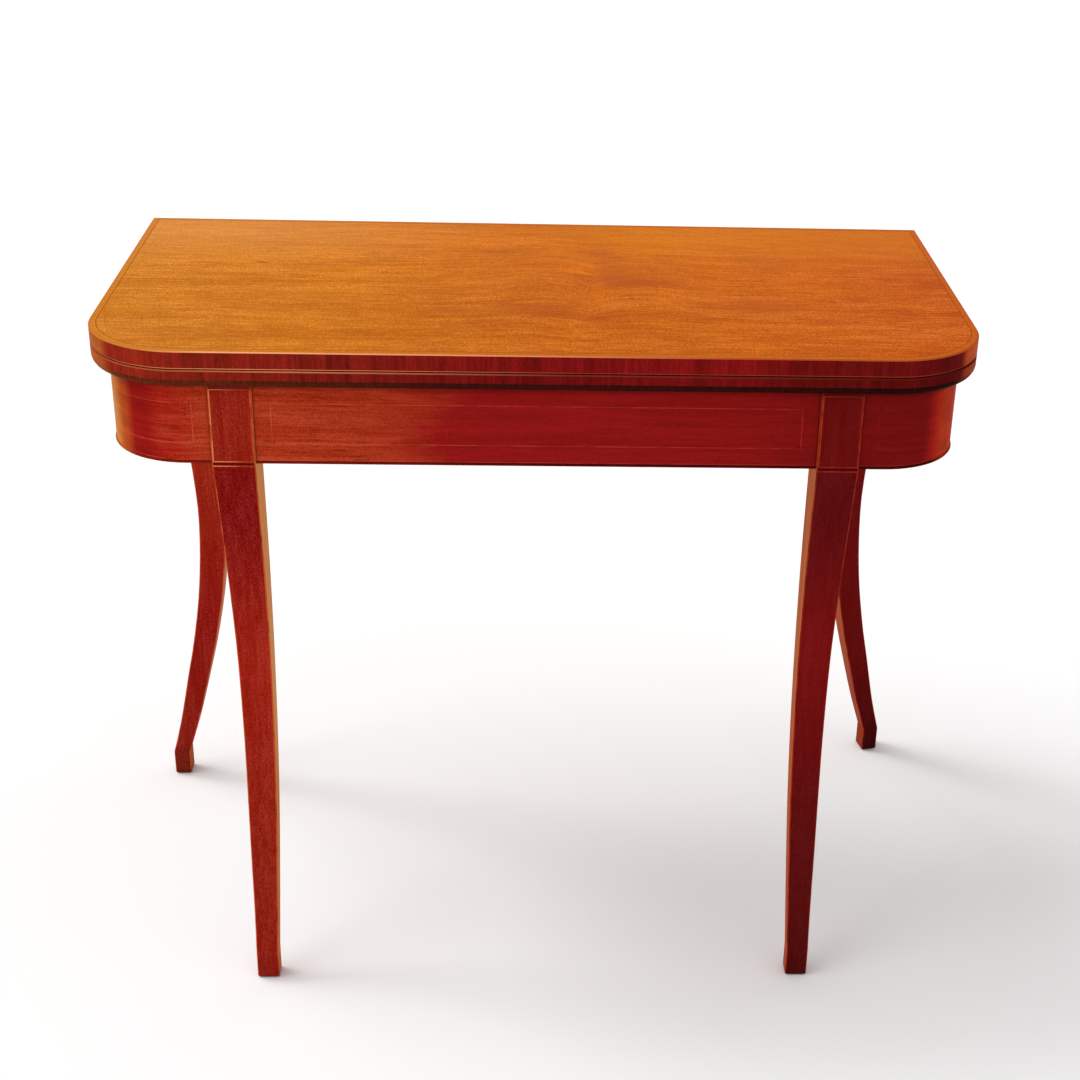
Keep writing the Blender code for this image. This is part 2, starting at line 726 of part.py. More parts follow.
def drill_knuckle(rail, side):
    name = f"{rail.name}_bore_{'left' if side < 0 else 'right'}"
    start = mirrored((KNUCKLE_PLACE, KNUCKLE_Y, RAIL_BOTTOM - CUT_OVERRUN), side)
    radius = KNUCKLE_PIN_RADIUS + KNUCKLE_PIN_CLEARANCE
    length = FLY_TOP - RAIL_BOTTOM + 2 * CUT_OVERRUN
    bore = rod(name, start, (0, 0, 1), [(0, radius), (length, radius)], EYE_STEPS)
    boolean(rail, add_object(name, bore))


def make_hinge_rail(inner_rail):
    """The fixed middle of the outer back rail, with a half knuckle at each end."""
    shoulder = KNUCKLE_PLACE - KNUCKLE_RADIUS - SEAT_GAP
    low = (-shoulder, FLY_FRONT, RAIL_BOTTOM)
    high = (shoulder, FLY_BACK, FLY_TOP)
    rail = add_object("hinge_rail", box("hinge_rail", low, high), "beech")
    for _, side in SIDES:
        add_fingers(rail, side, -1, 0)
        drill_knuckle(rail, side)
    places = []
    for side in (-1, 1):
        for share in RAIL_SCREW_SHARES:
            height = RAIL_BOTTOM + share * (FLY_TOP - RAIL_BOTTOM)
            place = (side * KNUCKLE_PLACE / 2, FLY_BACK, height)
            places.append((place, (0, -1, 0)))
    cutter = screw_cutter("rail_screw_holes", places, RAIL_SCREW_LENGTH)
    boolean(rail, cutter)
    boolean(inner_rail, cutter)
    for number, (start, direction) in enumerate(places, 1):
        make_screw(f"rail_screw_{number}", start, direction, RAIL_SCREW_LENGTH)


def fly_tenon_box(clearance):
    """The tenon from the fly rail into the leg's head, for the right side."""
    middle = (RAIL_BOTTOM + FLY_TOP) / 2
    half_height = FLY_TENON_HEIGHT / 2 + clearance
    half_thickness = FLY_TENON_THICKNESS / 2 + clearance
    x_range = (LEG_HEAD_INNER - CUT_OVERRUN, LEG_HEAD_INNER + FLY_TENON_LENGTH + clearance)
    y_range = (KNUCKLE_Y - half_thickness, KNUCKLE_Y + half_thickness)
    return x_range, y_range, (middle - half_height, middle + half_height)


def make_fly_rail(side_name, side):
    name = f"fly_rail_{side_name}"
    bm = bmesh.new()
    shoulder = KNUCKLE_PLACE + KNUCKLE_RADIUS + SEAT_GAP
    x_range = (shoulder, LEG_HEAD_INNER - SEAT_GAP)
    sided_box(bm, side, x_range, (FLY_FRONT, FLY_BACK), (RAIL_BOTTOM, FLY_TOP))
    rail = add_object(name, mesh_from(bm, name), "beech")
    add_fingers(rail, side, 1, 1)
    drill_knuckle(rail, side)
    bm = bmesh.new()
    sided_box(bm, side, *fly_tenon_box(0))
    boolean(rail, add_object(f"{name}_tenon", mesh_from(bm, "tenon")), "UNION")
    return rail


def make_knuckle_pin(side_name, side):
    name = f"knuckle_pin_{side_name}"
    start = mirrored((KNUCKLE_PLACE, KNUCKLE_Y, RAIL_BOTTOM + KNUCKLE_PIN_INSET), side)
    length = FLY_TOP - RAIL_BOTTOM - 2 * KNUCKLE_PIN_INSET
    stations = [(0, KNUCKLE_PIN_RADIUS), (length, KNUCKLE_PIN_RADIUS)]
    add_object(name, rod(name, start, (0, 0, 1), stations, EYE_STEPS), "iron")


# Legs


def smooth_value(places, values, place):
    """Cubic through the given values, with slopes taken from each one's neighbours."""
    last = len(places[1:])
    k = max(i for i in range(last) if places[i] <= place or i == 0)

    def slope(i):
        low, high = max(i - 1, 0), min(i + 1, last)
        return (values[high] - values[low]) / (places[high] - places[low])

    width = places[k + 1] - places[k]
    t = (place - places[k]) / width
    start = (1 + 2 * t) * (1 - t) ** 2 * values[k] + t * (1 - t) ** 2 * width * slope(k)
    end = t * t * (3 - 2 * t) * values[k + 1] - t * t * (1 - t) * width * slope(k + 1)
    return start + end


def leg_ring(height, face, depth, width, lean):
    """Section of a leg that faces -Y: a rectangle with its corners taken off."""
    half, cut = width / 2, LEG_CHAMFER
    front, back = -face, depth - face
    points = [
        (-half, front + cut), (-half + cut, front), (half - cut, front), (half, front + cut),
        (half, back - cut), (half - cut, back), (-half + cut, back), (-half, back - cut),
    ]
    return [(x + lean, y, height) for x, y in points]


def leg_rings(sweep, lean_at_floor, top):
    """From the floor: upright foot, swept leg, and the straight head behind the frieze."""
    foot_face = TABLET_PROUD + sweep
    foot_depth = LEG_HEAD_DEPTH * LEG_DEPTH_SHARES[0]
    foot_width = TABLET_WIDTH * LEG_WIDTH_SHARES[0]
    worn = 2 * FOOT_ROUNDING
    rings = [
        leg_ring(0, foot_face - FOOT_ROUNDING, foot_depth - worn, foot_width - worn, lean_at_floor),
        leg_ring(FOOT_ROUNDING, foot_face, foot_depth, foot_width, lean_at_floor),
    ]
    for step in range(LEG_RINGS + 1):
        share = step / LEG_RINGS
        height = FOOT_HEIGHT + share * (FRAME_BOTTOM - FOOT_HEIGHT)
        face = TABLET_PROUD + sweep * smooth_value(LEG_PLACE_SHARES, LEG_SWEEP_SHARES, share)
        depth = LEG_HEAD_DEPTH * smooth_value(LEG_PLACE_SHARES, LEG_DEPTH_SHARES, share)
        width = TABLET_WIDTH * smooth_value(LEG_PLACE_SHARES, LEG_WIDTH_SHARES, share)
        rings.append(leg_ring(height, face, depth, width, lean_at_floor * (1 - share)))
    rings.append(leg_ring(top, TABLET_PROUD, LEG_HEAD_DEPTH, TABLET_WIDTH, 0))
    return rings


def make_front_leg(side_name, side):
    """The head straddles the rails, which meet behind its tablet."""
    name = f"front_leg_{side_name}"
    mesh = loft(name, leg_rings(FRONT_LEG_SWEEP, -side * FRONT_LEG_TOE_IN, FRAME_TOP))
    leg = add_object(name, mesh, "red_mahogany")
    leg.location = (side * FRONT_LEG_PLACE, FRIEZE_FRONT, 0)
    half = TABLET_WIDTH / 2 + CUT_OVERRUN
    low = (
        side * FRONT_LEG_PLACE - half,
        FRIEZE_FRONT + HOUSING_DEPTH - SEAT_GAP,
        RAIL_BOTTOM - SEAT_GAP,
    )
    high = (
        side * FRONT_LEG_PLACE + half,
        FRIEZE_FRONT + RAIL_THICKNESS + SEAT_GAP,
        FRAME_TOP + CUT_OVERRUN,
    )
    boolean(leg, add_object(f"{name}_bridle", box("bridle", low, high)))


def make_rear_leg(side_name, side):
    name = f"rear_leg_{side_name}"
    mesh = loft(name, leg_rings(REAR_LEG_SWEEP, 0, FLY_TOP))
    leg = add_object(name, mesh, "red_mahogany")
    leg.location = (side * FRIEZE_END, REAR_LEG_PLACE, 0)
    leg.rotation_euler = (0, 0, side * math.pi / 2)
    bm = bmesh.new()
    sided_box(bm, side, *fly_tenon_box(SEAT_GAP))
    mortise = add_object(f"{name}_mortise", mesh_from(bm, "mortise"))
    boolean(leg, mortise)
    return leg, mortise


def make_fly(side_name, side):
    """Fly rail and rear leg on an empty at the knuckle pin, turned to the rest angle."""
    rail = make_fly_rail(side_name, side)
    leg, mortise = make_rear_leg(side_name, side)
    make_knuckle_pin(side_name, side)
    pivot = bpy.data.objects.new(f"fly_pivot_{side_name}", None)
    bpy.context.scene.collection.objects.link(pivot)
    pivot.location = (side * KNUCKLE_PLACE, KNUCKLE_Y, 0)
    bpy.context.view_layer.update()
    moving = [rail, leg, mortise]
    moving += [modifier.object for modifier in rail.modifiers]
    for piece in moving:
        piece.parent = pivot
        piece.matrix_parent_inverse = Matrix.Translation(pivot.location).inverted()
    if side > 0:
        pivot.rotation_euler = (0, 0, RIGHT_FLY_REST_ANGLE)


def main():
    clear_scene()
    lower_leaf = make_leaves()
    make_hinges()
    rails = make_rails(lower_leaf)
    make_beads()
    make_medial_rail()
    make_blocks()
    make_hinge_rail(rails["inner_back_rail"])
    for side_name, side in SIDES:
        make_front_leg(side_name, side)
        make_fly(side_name, side)


main()
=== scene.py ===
import math

import bmesh
import bpy
from mathutils import Matrix, Vector


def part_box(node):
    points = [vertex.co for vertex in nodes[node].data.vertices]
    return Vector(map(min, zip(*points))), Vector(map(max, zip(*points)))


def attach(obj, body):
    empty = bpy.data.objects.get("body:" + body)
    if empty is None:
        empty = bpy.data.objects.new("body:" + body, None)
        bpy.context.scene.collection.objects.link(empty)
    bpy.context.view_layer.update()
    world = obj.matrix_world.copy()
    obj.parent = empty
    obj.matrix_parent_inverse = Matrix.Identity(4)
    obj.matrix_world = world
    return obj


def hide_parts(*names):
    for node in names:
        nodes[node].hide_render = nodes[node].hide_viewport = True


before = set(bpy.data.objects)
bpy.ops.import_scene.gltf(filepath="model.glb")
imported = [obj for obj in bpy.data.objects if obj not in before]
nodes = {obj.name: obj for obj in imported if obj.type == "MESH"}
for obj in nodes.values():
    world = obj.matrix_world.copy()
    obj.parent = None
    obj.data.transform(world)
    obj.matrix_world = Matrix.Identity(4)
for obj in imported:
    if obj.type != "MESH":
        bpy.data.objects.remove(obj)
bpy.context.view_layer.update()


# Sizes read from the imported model, in metres
LEAF_LOW, LEAF_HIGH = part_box("upper_leaf")
HALF = LEAF_HIGH.x
FRONT = LEAF_LOW.y
BACK = LEAF_HIGH.y
MOULDING_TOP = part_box("lower_leaf")[0].z + 0.0090
RAIL_LOW, RAIL_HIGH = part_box("front_rail")
FRIEZE_FRONT = RAIL_LOW.y
FRIEZE_TOP = RAIL_HIGH.z
FRAME_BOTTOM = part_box("bead_front")[0].z
LEG_LOW, LEG_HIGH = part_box("front_leg_right")
LEG_PLACE = (LEG_LOW.x + LEG_HIGH.x) / 2

# Round corners of the leaves and of the frieze, which stands back under them
CORNER = 0.101
FRIEZE_CORNER = 0.0835
OVERHANG = 0.0175
VENEER = 0.0012

# The top's border: distances in from the ends, the front and the back, its corner and its width
BORDER_ENDS, BORDER_FRONT, BORDER_BACK = 0.0078, 0.0087, 0.0062
BORDER_CORNER = 0.093
BORDER_INNER = 0.0087

# Inlaid lines: heights over the floor, places from the middle and widths
LINE = 0.0008
PANEL_TOP, PANEL_BOTTOM = 0.6799, 0.6370
PANEL_END = 0.2680
END_PANEL_START = 0.3468
END_PANEL_FRONT = -0.20
LOW_LINE = 0.6187
TABLET_TOP = 0.6960
TABLET_HALF = 0.0200
GROOVE = 0.0018
GROOVE_HEIGHT = 0.6163
UNDER_LINE = 0.6137

# Where the round ends turn from red to golden, in part a painted sheen, as distances from the
# middle
LEAF_TURN = (0.4262, 0.4372)
MOULDING_TURN = (0.4180, 0.4360)
AMBER_TURN = (0.4070, 0.4190)
FRIEZE_TURN = (0.4190, 0.4330)
BEAD_TURN = (0.4050, 0.4230)


# Slots in the screws, in metres, and the turn from one screw to the next
SLOT_LENGTH = 0.0070
SLOT_WIDTH = 0.0008
SLOT_DEPTH = 0.0008
SLOT_TURN = 1.1

# Linings: steps of a round corner, and the rim's drop and inset
CORNER_STEPS = 24
RIM_DROP = 0.0004
RIM_INSET = 0.0005


# The camera, fitted to the photograph: place, yaw, pitch and roll, lens and the crop's shift
CAMERA_PLACE = (-0.01018, -2.00684, 1.37812)
CAMERA_TURN = (3.3968, 26.8766, -1.8779)
CAMERA_LENS = 63.327
CAMERA_SHIFT = (-0.0815, 0.0506)

# Lights: strength, width in degrees and direction
KEYS = {
    "broad_key": (1.40, 54, (-0.60, 0.11, 0.79)),
    "key": (0.50, 14, (-0.62, 0.24, 0.75)),
}
SURROUND_LIGHT = 0.64
SURROUND_SEEN = 1.0

FLOOR_REACH = 30
FLOOR_DROP = 0.0004
FLOOR_TONE = 0.955


def add_camera():
    """The photograph's viewpoint. The photograph is a crop, so its centre is shifted."""
    yaw, pitch, roll = (math.radians(a) for a in CAMERA_TURN)
    forward = Vector((
        math.sin(yaw) * math.cos(pitch), math.cos(yaw) * math.cos(pitch), -math.sin(pitch),
    ))
    right = Vector((math.cos(yaw), -math.sin(yaw), 0))
    down = forward.cross(right)
    turned_right = math.cos(roll) * right + math.sin(roll) * down
    turned_down = -math.sin(roll) * right + math.cos(roll) * down
    data = bpy.data.cameras.new("camera")
    data.sensor_width = 36
    data.lens = CAMERA_LENS
    data.shift_x, data.shift_y = CAMERA_SHIFT
    data.clip_end = 100
    camera = bpy.data.objects.new("camera", data)
    bpy.context.scene.collection.objects.link(camera)
    axes = Matrix((turned_right, -turned_down, -forward)).transposed().to_4x4()
    camera.matrix_world = Matrix.Translation(CAMERA_PLACE) @ axes
    bpy.context.scene.camera = camera


def add_floor():
    """A wide, pale, matt floor just under the feet."""
    material = bpy.data.materials.new("pale_floor")
    material.use_nodes = True
    shader = material.node_tree.nodes["Principled BSDF"]
    shader.inputs["Base Color"].default_value = (FLOOR_TONE, FLOOR_TONE, FLOOR_TONE, 1)
    shader.inputs["Roughness"].default_value = 0.9
    shader.inputs["Specular IOR Level"].default_value = 0.0
    mesh = bpy.data.meshes.new("floor")
    reach = FLOOR_REACH
    corners = [(-reach, -reach, 0), (reach, -reach, 0), (reach, reach, 0), (-reach, reach, 0)]
    mesh.from_pydata(corners, [], [(0, 1, 2, 3)])
    mesh.materials.append(material)
    floor = bpy.data.objects.new("floor", mesh)
    floor.location.z = -FLOOR_DROP
    bpy.context.scene.collection.objects.link(floor)


def add_lights():
    """A broad soft key from the left with a smaller one in it, and an even white surround."""
    for name, (strength, width, direction) in KEYS.items():
        data = bpy.data.lights.new(name, "SUN")
        data.energy = strength
        data.angle = math.radians(width)
        key = bpy.data.objects.new(name, data)
        key.rotation_mode = "QUATERNION"
        key.rotation_quaternion = Vector(direction).normalized().to_track_quat("Z", "Y")
        bpy.context.scene.collection.objects.link(key)
    world = bpy.data.worlds.new("surround")
    bpy.context.scene.world = world
    world.use_nodes = True
    tree = world.node_tree
    tree.nodes.clear()
    path = tree.nodes.new("ShaderNodeLightPath")
    direct = path.outputs["Is Camera Ray"]
    for ray in ("Is Glossy Ray", "Is Transmission Ray"):
        either = tree.nodes.new("ShaderNodeMath")
        either.operation = "MAXIMUM"
        tree.links.new(direct, either.inputs[0])
        tree.links.new(path.outputs[ray], either.inputs[1])
        direct = either.outputs[0]
    mix = tree.nodes.new("ShaderNodeMixShader")
    tree.links.new(direct, mix.inputs[0])
    for slot, strength in ((1, SURROUND_LIGHT), (2, SURROUND_SEEN)):
        white = tree.nodes.new("ShaderNodeBackground")
        white.inputs["Color"].default_value = (1, 1, 1, 1)
        white.inputs["Strength"].default_value = strength
        tree.links.new(white.outputs[0], mix.inputs[slot])
    out = tree.nodes.new("ShaderNodeOutputWorld")
    tree.links.new(mix.outputs[0], out.inputs[0])


# A small language for node trees: numbers that are sockets
SOFT_SIDE = 0.0002
EYE_GAMMA = 2.2


class Value:
    """A number from a node. Python's own operators make the Math nodes."""

    def __init__(self, paint, socket):
        self.paint = paint
        self.socket = socket

    def __add__(self, other):
        return self.paint.math("ADD", self, other)

    __radd__ = __add__

    def __sub__(self, other):
        return self.paint.math("SUBTRACT", self, other)

    def __rsub__(self, other):
        return self.paint.math("SUBTRACT", other, self)

    def __mul__(self, other):
        return self.paint.math("MULTIPLY", self, other)

    __rmul__ = __mul__

    def __truediv__(self, other):
        return self.paint.math("DIVIDE", self, other)

    def __abs__(self):
        return self.paint.math("ABSOLUTE", self)

    def __pow__(self, other):
        return self.paint.math("POWER", self, other)

    def __neg__(self):
        return self * -1

    def __gt__(self, other):
        return self.paint.math("GREATER_THAN", self, other)

    def __lt__(self, other):
        return self.paint.math("LESS_THAN", self, other)


class Paint:
    """One material and its node tree."""

    def __init__(self, name):
        self.material = bpy.data.materials.new(name)
        self.material.use_nodes = True
        self.tree = self.material.node_tree
        self.shader = self.tree.nodes["Principled BSDF"]
        place = self.tree.nodes.new("ShaderNodeTexCoord")
        self.place = place.outputs["Object"]
        self.x, self.y, self.z = self.parts(self.place)
        self.nx, self.ny, self.nz = self.parts(place.outputs["Normal"])

    def parts(self, socket):
        split = self.tree.nodes.new("ShaderNodeSeparateXYZ")
        self.tree.links.new(socket, split.inputs[0])
        return [Value(self, split.outputs[i]) for i in range(3)]

    def feed(self, socket, value):
        if isinstance(value, Value):
            self.tree.links.new(value.socket, socket)
        elif isinstance(value, bpy.types.NodeSocket):
            self.tree.links.new(value, socket)
        else:
            socket.default_value = value

    def feed_colour(self, socket, colour):
        self.feed(socket, (*colour, 1.0) if isinstance(colour, tuple) else colour)

    def math(self, operation, *values):
        node = self.tree.nodes.new("ShaderNodeMath")
        node.operation = operation
        for socket, value in zip(node.inputs, values):
            self.feed(socket, value)
        return Value(self, node.outputs[0])

    def greatest(self, *values):
        best = values[0]
        for value in values[1:]:
            best = self.math("MAXIMUM", best, value)
        return best

    def least(self, *values):
        best = values[0]
        for value in values[1:]:
            best = self.math("MINIMUM", best, value)
        return best

    def ramp(self, value, low, high, first=0.0, last=1.0):
        """Smooth step from first to last as value goes from low to high."""
        node = self.tree.nodes.new("ShaderNodeMapRange")
        node.interpolation_type = "SMOOTHSTEP"
        self.feed(node.inputs["Value"], value)
        for limit, number in (("From Min", low), ("From Max", high)):
            self.feed(node.inputs[limit], number)
        for limit, number in (("To Min", first), ("To Max", last)):
            self.feed(node.inputs[limit], number)
        return Value(self, node.outputs["Result"])

    def line(self, distance, width=LINE):
        """1 within half a width of the place where distance is 0, with soft sides."""
        return self.ramp(abs(distance), width * 0.5, width * 0.5 + SOFT_SIDE, 1.0, 0.0)

    def vector(self, x, y, z):
        node = self.tree.nodes.new("ShaderNodeCombineXYZ")
        for socket, value in zip(node.inputs, (x, y, z)):
            self.feed(socket, value)
        return node.outputs[0]

    def noise(self, vector, scale=1.0, detail=3.0, roughness=0.5, distortion=0.0):
        node = self.tree.nodes.new("ShaderNodeTexNoise")
        self.tree.links.new(vector, node.inputs["Vector"])
        node.inputs["Scale"].default_value = scale
        node.inputs["Detail"].default_value = detail
        node.inputs["Roughness"].default_value = roughness
        node.inputs["Distortion"].default_value = distortion
        return Value(self, node.outputs["Fac"])

    def mix(self, amount, first, second):
        """Colour between two colours."""
        node = self.tree.nodes.new("ShaderNodeMix")
        node.data_type = "RGBA"
        self.feed(node.inputs[0], amount)
        self.feed_colour(node.inputs[6], first)
        self.feed_colour(node.inputs[7], second)
        return node.outputs[2]

    def blend(self, value, stops):
        """Colour that passes through (place, colour) stops."""
        node = self.tree.nodes.new("ShaderNodeValToRGB")
        low, high = stops[0][0], stops[-1][0]
        self.feed(node.inputs[0], (value - low) / (high - low))
        marks = node.color_ramp.elements
        while len(marks) < len(stops):
            marks.new(0.5)
        for mark, (place, colour) in zip(marks, stops):
            mark.position = (place - low) / (high - low)
            mark.color = (*colour, 1.0)
        return node.outputs[0]

    def scaled(self, colour, factor):
        """A colour times a number."""
        node = self.tree.nodes.new("ShaderNodeVectorMath")
        node.operation = "SCALE"
        self.feed(node.inputs[0], colour)
        self.feed(node.inputs["Scale"], factor)
        return node.outputs[0]

    def grained(self, colour, change):
        """The same light or dark added to red, green and blue, as the eye sees them."""
        shown = self.tree.nodes.new("ShaderNodeGamma")
        shown.inputs["Gamma"].default_value = 1 / EYE_GAMMA
        self.feed_colour(shown.inputs["Color"], colour)
        added = self.tree.nodes.new("ShaderNodeVectorMath")
        added.operation = "ADD"
        self.feed(added.inputs[0], shown.outputs[0])
        self.feed(added.inputs[1], self.vector(change, change, change))
        held = self.tree.nodes.new("ShaderNodeVectorMath")
        held.operation = "MAXIMUM"
        self.feed(held.inputs[0], added.outputs[0])
        linear = self.tree.nodes.new("ShaderNodeGamma")
        linear.inputs["Gamma"].default_value = EYE_GAMMA
        self.feed(linear.inputs["Color"], held.outputs[0])
        return linear.outputs[0]

    def blob(self, x, y, x0, y0, x_size, y_size):
        """1 in the middle of a soft oval, 0 well outside it."""
        far = ((x - x0) / x_size) ** 2 + ((y - y0) / y_size) ** 2
        return self.math("EXPONENT", -far)

    def blobs(self, x, y, places):
        """All of the soft ovals of a table, up to 1 where they meet."""
        total = 0.0
        for place in places:
            total = self.blob(x, y, *place) + total
        return self.least(total, 1.0)

    def finish(self, colour, roughness, specular=0.3, height=None, strength=0.1, distance=0.0003):
        self.feed(self.shader.inputs["Base Color"], colour)
        self.feed(self.shader.inputs["Roughness"], roughness)
        self.shader.inputs["Specular IOR Level"].default_value = specular
        if height is not None:
            bump = self.tree.nodes.new("ShaderNodeBump")
            bump.inputs["Strength"].default_value = strength
            bump.inputs["Distance"].default_value = distance
            self.tree.links.new(height.socket, bump.inputs["Height"])
            self.tree.links.new(bump.outputs[0], self.shader.inputs["Normal"])
        return self.material


def srgb(red, green, blue):
    """A colour as the photograph's 0 to 255 numbers, made linear."""
    shares = (number / 255 for number in (red, green, blue))
    return tuple(((s + 0.055) / 1.055) ** 2.4 if s > 0.04 else s / 12.92 for s in shares)


# Old polish reflects little in the photograph
GLOSS = 0.005

# Light that falls on the faces, as a share of plain white
TOP_LIGHT = 1.10
PLAIN_LIGHT = 1.00
FRONT_LIGHT = 0.80
LEFT_LIGHT = 1.12
TURN_LIGHT = 1.08
UNDER_LIGHT = 0.70
LOW_LIGHT = 0.66


def seen(red, green, blue, light=FRONT_LIGHT):
    """The paint that shows as a given colour under a given light."""
    return tuple(min(c / light, 1.0) for c in srgb(red, green, blue))


# Joins, nicks and shade; and the back's faces, which have kept less colour
DARK = srgb(46, 7, 7)
BACK_BROWN = seen(112, 48, 26)

# Paint from left to right, as places from the middle and the colours seen there. It is lighter to
# the left and darker to the right, in part as painted light from the left.
TOP_TONES = (
    (-0.45, seen(211, 127, 33, TOP_LIGHT)), (-0.22, seen(208, 119, 22, TOP_LIGHT)),
    (0.03, seen(199, 101, 14, TOP_LIGHT)), (0.20, seen(203, 102, 14, TOP_LIGHT)),
    (0.45, seen(197, 90, 13, TOP_LIGHT)),
)
EDGE_TONES = (
    (-0.42, seen(130, 34, 19)), (-0.20, seen(118, 25, 18)), (0.0, seen(116, 17, 17)),
    (0.20, seen(119, 17, 17)), (0.30, seen(98, 15, 14)), (0.42, seen(90, 13, 13)),
)
UPPER_ARRIS = (
    (-0.45, seen(205, 116, 42, TOP_LIGHT)), (-0.39, seen(214, 130, 60, TOP_LIGHT)),
    (-0.33, seen(248, 176, 118, PLAIN_LIGHT)), (-0.05, seen(232, 146, 94, PLAIN_LIGHT)),
    (0.20, seen(186, 80, 40, TOP_LIGHT)), (0.45, seen(190, 86, 34, TOP_LIGHT)),
)
UNDER_ARRIS = (
    (-0.45, seen(190, 96, 44, UNDER_LIGHT)), (-0.30, seen(222, 132, 82, UNDER_LIGHT)),
    (0.05, seen(150, 52, 36)), (0.45, seen(156, 54, 28)),
)
LOWER_ARRIS = (
    (-0.45, seen(160, 70, 34, TOP_LIGHT)), (-0.25, seen(220, 134, 90, PLAIN_LIGHT)),
    (0.03, seen(150, 60, 44, TOP_LIGHT)), (0.45, seen(90, 20, 16, TOP_LIGHT)),
)
# The moulding's tones are painted shade under the leaves, lighter at the left as painted light
MOULDING_TONES = (
    (-0.45, seen(92, 36, 18)), (-0.10, seen(54, 16, 11)), (0.45, seen(26, 6, 6)),
)
FRIEZE_TONES = (
    (-0.385, seen(158, 32, 22)), (-0.33, seen(168, 57, 29)), (-0.16, seen(157, 46, 24)),
    (-0.08, seen(137, 21, 20)), (0.23, seen(126, 18, 17)), (0.33, seen(107, 15, 14)),
)
LINE_TONES = (
    (-0.44, seen(190, 66, 34)), (-0.30, seen(196, 88, 44)), (-0.05, seen(176, 56, 40)),
    (0.27, seen(160, 42, 36)), (0.44, seen(140, 34, 28)),
)
BEAD_TONES = (
    (-0.44, seen(124, 22, 16)), (-0.20, seen(112, 24, 14)), (0.0, seen(84, 9, 9)),
    (0.44, seen(64, 8, 8)),
)

# Paint of the round ends, left and right: golden, in part the wood's paler tone and in part a
# painted sheen where they turn to the sides
UPPER_GOLD = (seen(181, 90, 32, LEFT_LIGHT), seen(163, 64, 26))
LOWER_GOLD = (seen(176, 84, 30, LEFT_LIGHT), seen(140, 50, 22))
MOULDING_GOLD = (seen(140, 66, 26), seen(92, 26, 12))
FRIEZE_RED = (seen(156, 24, 21, TURN_LIGHT), seen(150, 26, 20))
FRIEZE_AMBER = (seen(180, 72, 28, TURN_LIGHT), seen(156, 44, 16))
FRIEZE_GOLD = (seen(204, 128, 56, LEFT_LIGHT), seen(158, 38, 5))
BEAD_GOLD = (seen(180, 92, 44, LEFT_LIGHT), seen(134, 40, 18))

# Figure of the top: soft dark and light ovals, as x, y and half sizes
DARK_SPOTS = (
    (0.010, -0.085, 0.038, 0.018), (0.007, -0.108, 0.022, 0.009), (0.062, -0.120, 0.021, 0.012),
    (0.084, 0.024, 0.026, 0.030), (0.130, 0.008, 0.048, 0.014), (-0.046, 0.115, 0.036, 0.008),
    (-0.092, -0.100, 0.026, 0.006), (0.235, -0.070, 0.055, 0.030), (0.072, 0.112, 0.022, 0.016),
)
LIGHT_SPOTS = (
    (0.024, 0.115, 0.016, 0.018), (0.044, 0.055, 0.014, 0.028), (0.063, -0.005, 0.012, 0.028),
    (0.066, -0.050, 0.011, 0.020), (0.050, -0.095, 0.010, 0.018), (0.036, -0.132, 0.010, 0.018),
    (0.022, -0.180, 0.016, 0.018), (-0.020, 0.150, 0.060, 0.014),
)

# Short dark marks on the top: x, y, half length, half width and slant
MARKS = (
    (-0.3076, 0.063, 0.0085, 0.0030, -0.35), (0.149, -0.002, 0.0060, 0.0016, 0.0),
    (0.087, 0.100, 0.0050, 0.0014, 0.3), (-0.163, -0.020, 0.0040, 0.0014, 0.0),
    (0.316, -0.050, 0.0040, 0.0016, 0.0), (-0.245, 0.015, 0.0030, 0.0014, 0.0),
)

# Dark nicks at the ends of the frieze's lines: from the middle, height and half sizes
NICKS = ((0.2665, 0.6385, 0.0014, 0.0016), (0.3480, 0.6795, 0.0012, 0.0012))


def leaf_distance(p, ends=0.0, front=0.0, back=0.0, radius=CORNER):
    """Distance out of a D outline set in from the leaf's: negative inside."""
    across = abs(p.x) - (HALF - ends - radius)
    along = -p.y + (FRONT + front + radius)
    outside = p.math("SQRT", p.greatest(across, 0.0) ** 2 + p.greatest(along, 0.0) ** 2)
    rounded = outside + p.least(p.greatest(across, along), 0.0) - radius
    return p.greatest(rounded, p.y - (BACK - back))


def speckle(p, amount):
    """A factor with the fine unevenness of old, worn polish."""
    return p.ramp(p.noise(p.place, 760.0, 2.0, 0.7), 0.3, 0.7, 1.0 - amount, 1.0 + amount)


def arris(p, level):
    """1 on a rounded arris, where level is how far the face looks up or down."""
    return p.ramp(level, 0.30, 0.45) * p.ramp(level, 0.80, 0.90, 1.0, 0.0)


def edge_colour(p, factor=1.0):
    """Cross-grained veneer on the leaves' edges: upright grain in pieces of unlike tone."""
    fine = p.noise(p.vector(p.x * 380, p.y * 380, p.z * 30), 1.0, 4.0, 0.65)
    pieces = p.noise(p.vector(p.x * 52, p.y * 52, p.z * 3), 1.0, 3.0, 0.7)
    tone = p.ramp(pieces, 0.34, 0.66, 0.80, 1.18) * p.ramp(fine, 0.28, 0.72, 0.80, 1.20)
    base = p.blend(p.x, EDGE_TONES)
    base = p.mix(p.ramp(p.ny, 0.6, 0.9, 0.0, 0.5), base, BACK_BROWN)
    return p.scaled(base, tone * speckle(p, 0.22) * factor), fine


def side_gold_and_sheen(p, colour, sides, turn=LEAF_TURN):
    """The round ends are golden where they look left or right: in part a paler tone the wood has
    kept, in part a painted sheen of light at a grazing angle.
    """
    fine = p.noise(p.vector(p.x * 30, p.y * 30, p.z * 110), 1.0, 4.0)
    gold = p.mix(p.x > 0.0, *sides)
    gold = p.scaled(gold, p.ramp(fine, 0.3, 0.7, 0.86, 1.12) * speckle(p, 0.10))
    return p.mix(p.ramp(abs(p.x), *turn) * (p.ny < 0.6), colour, gold)


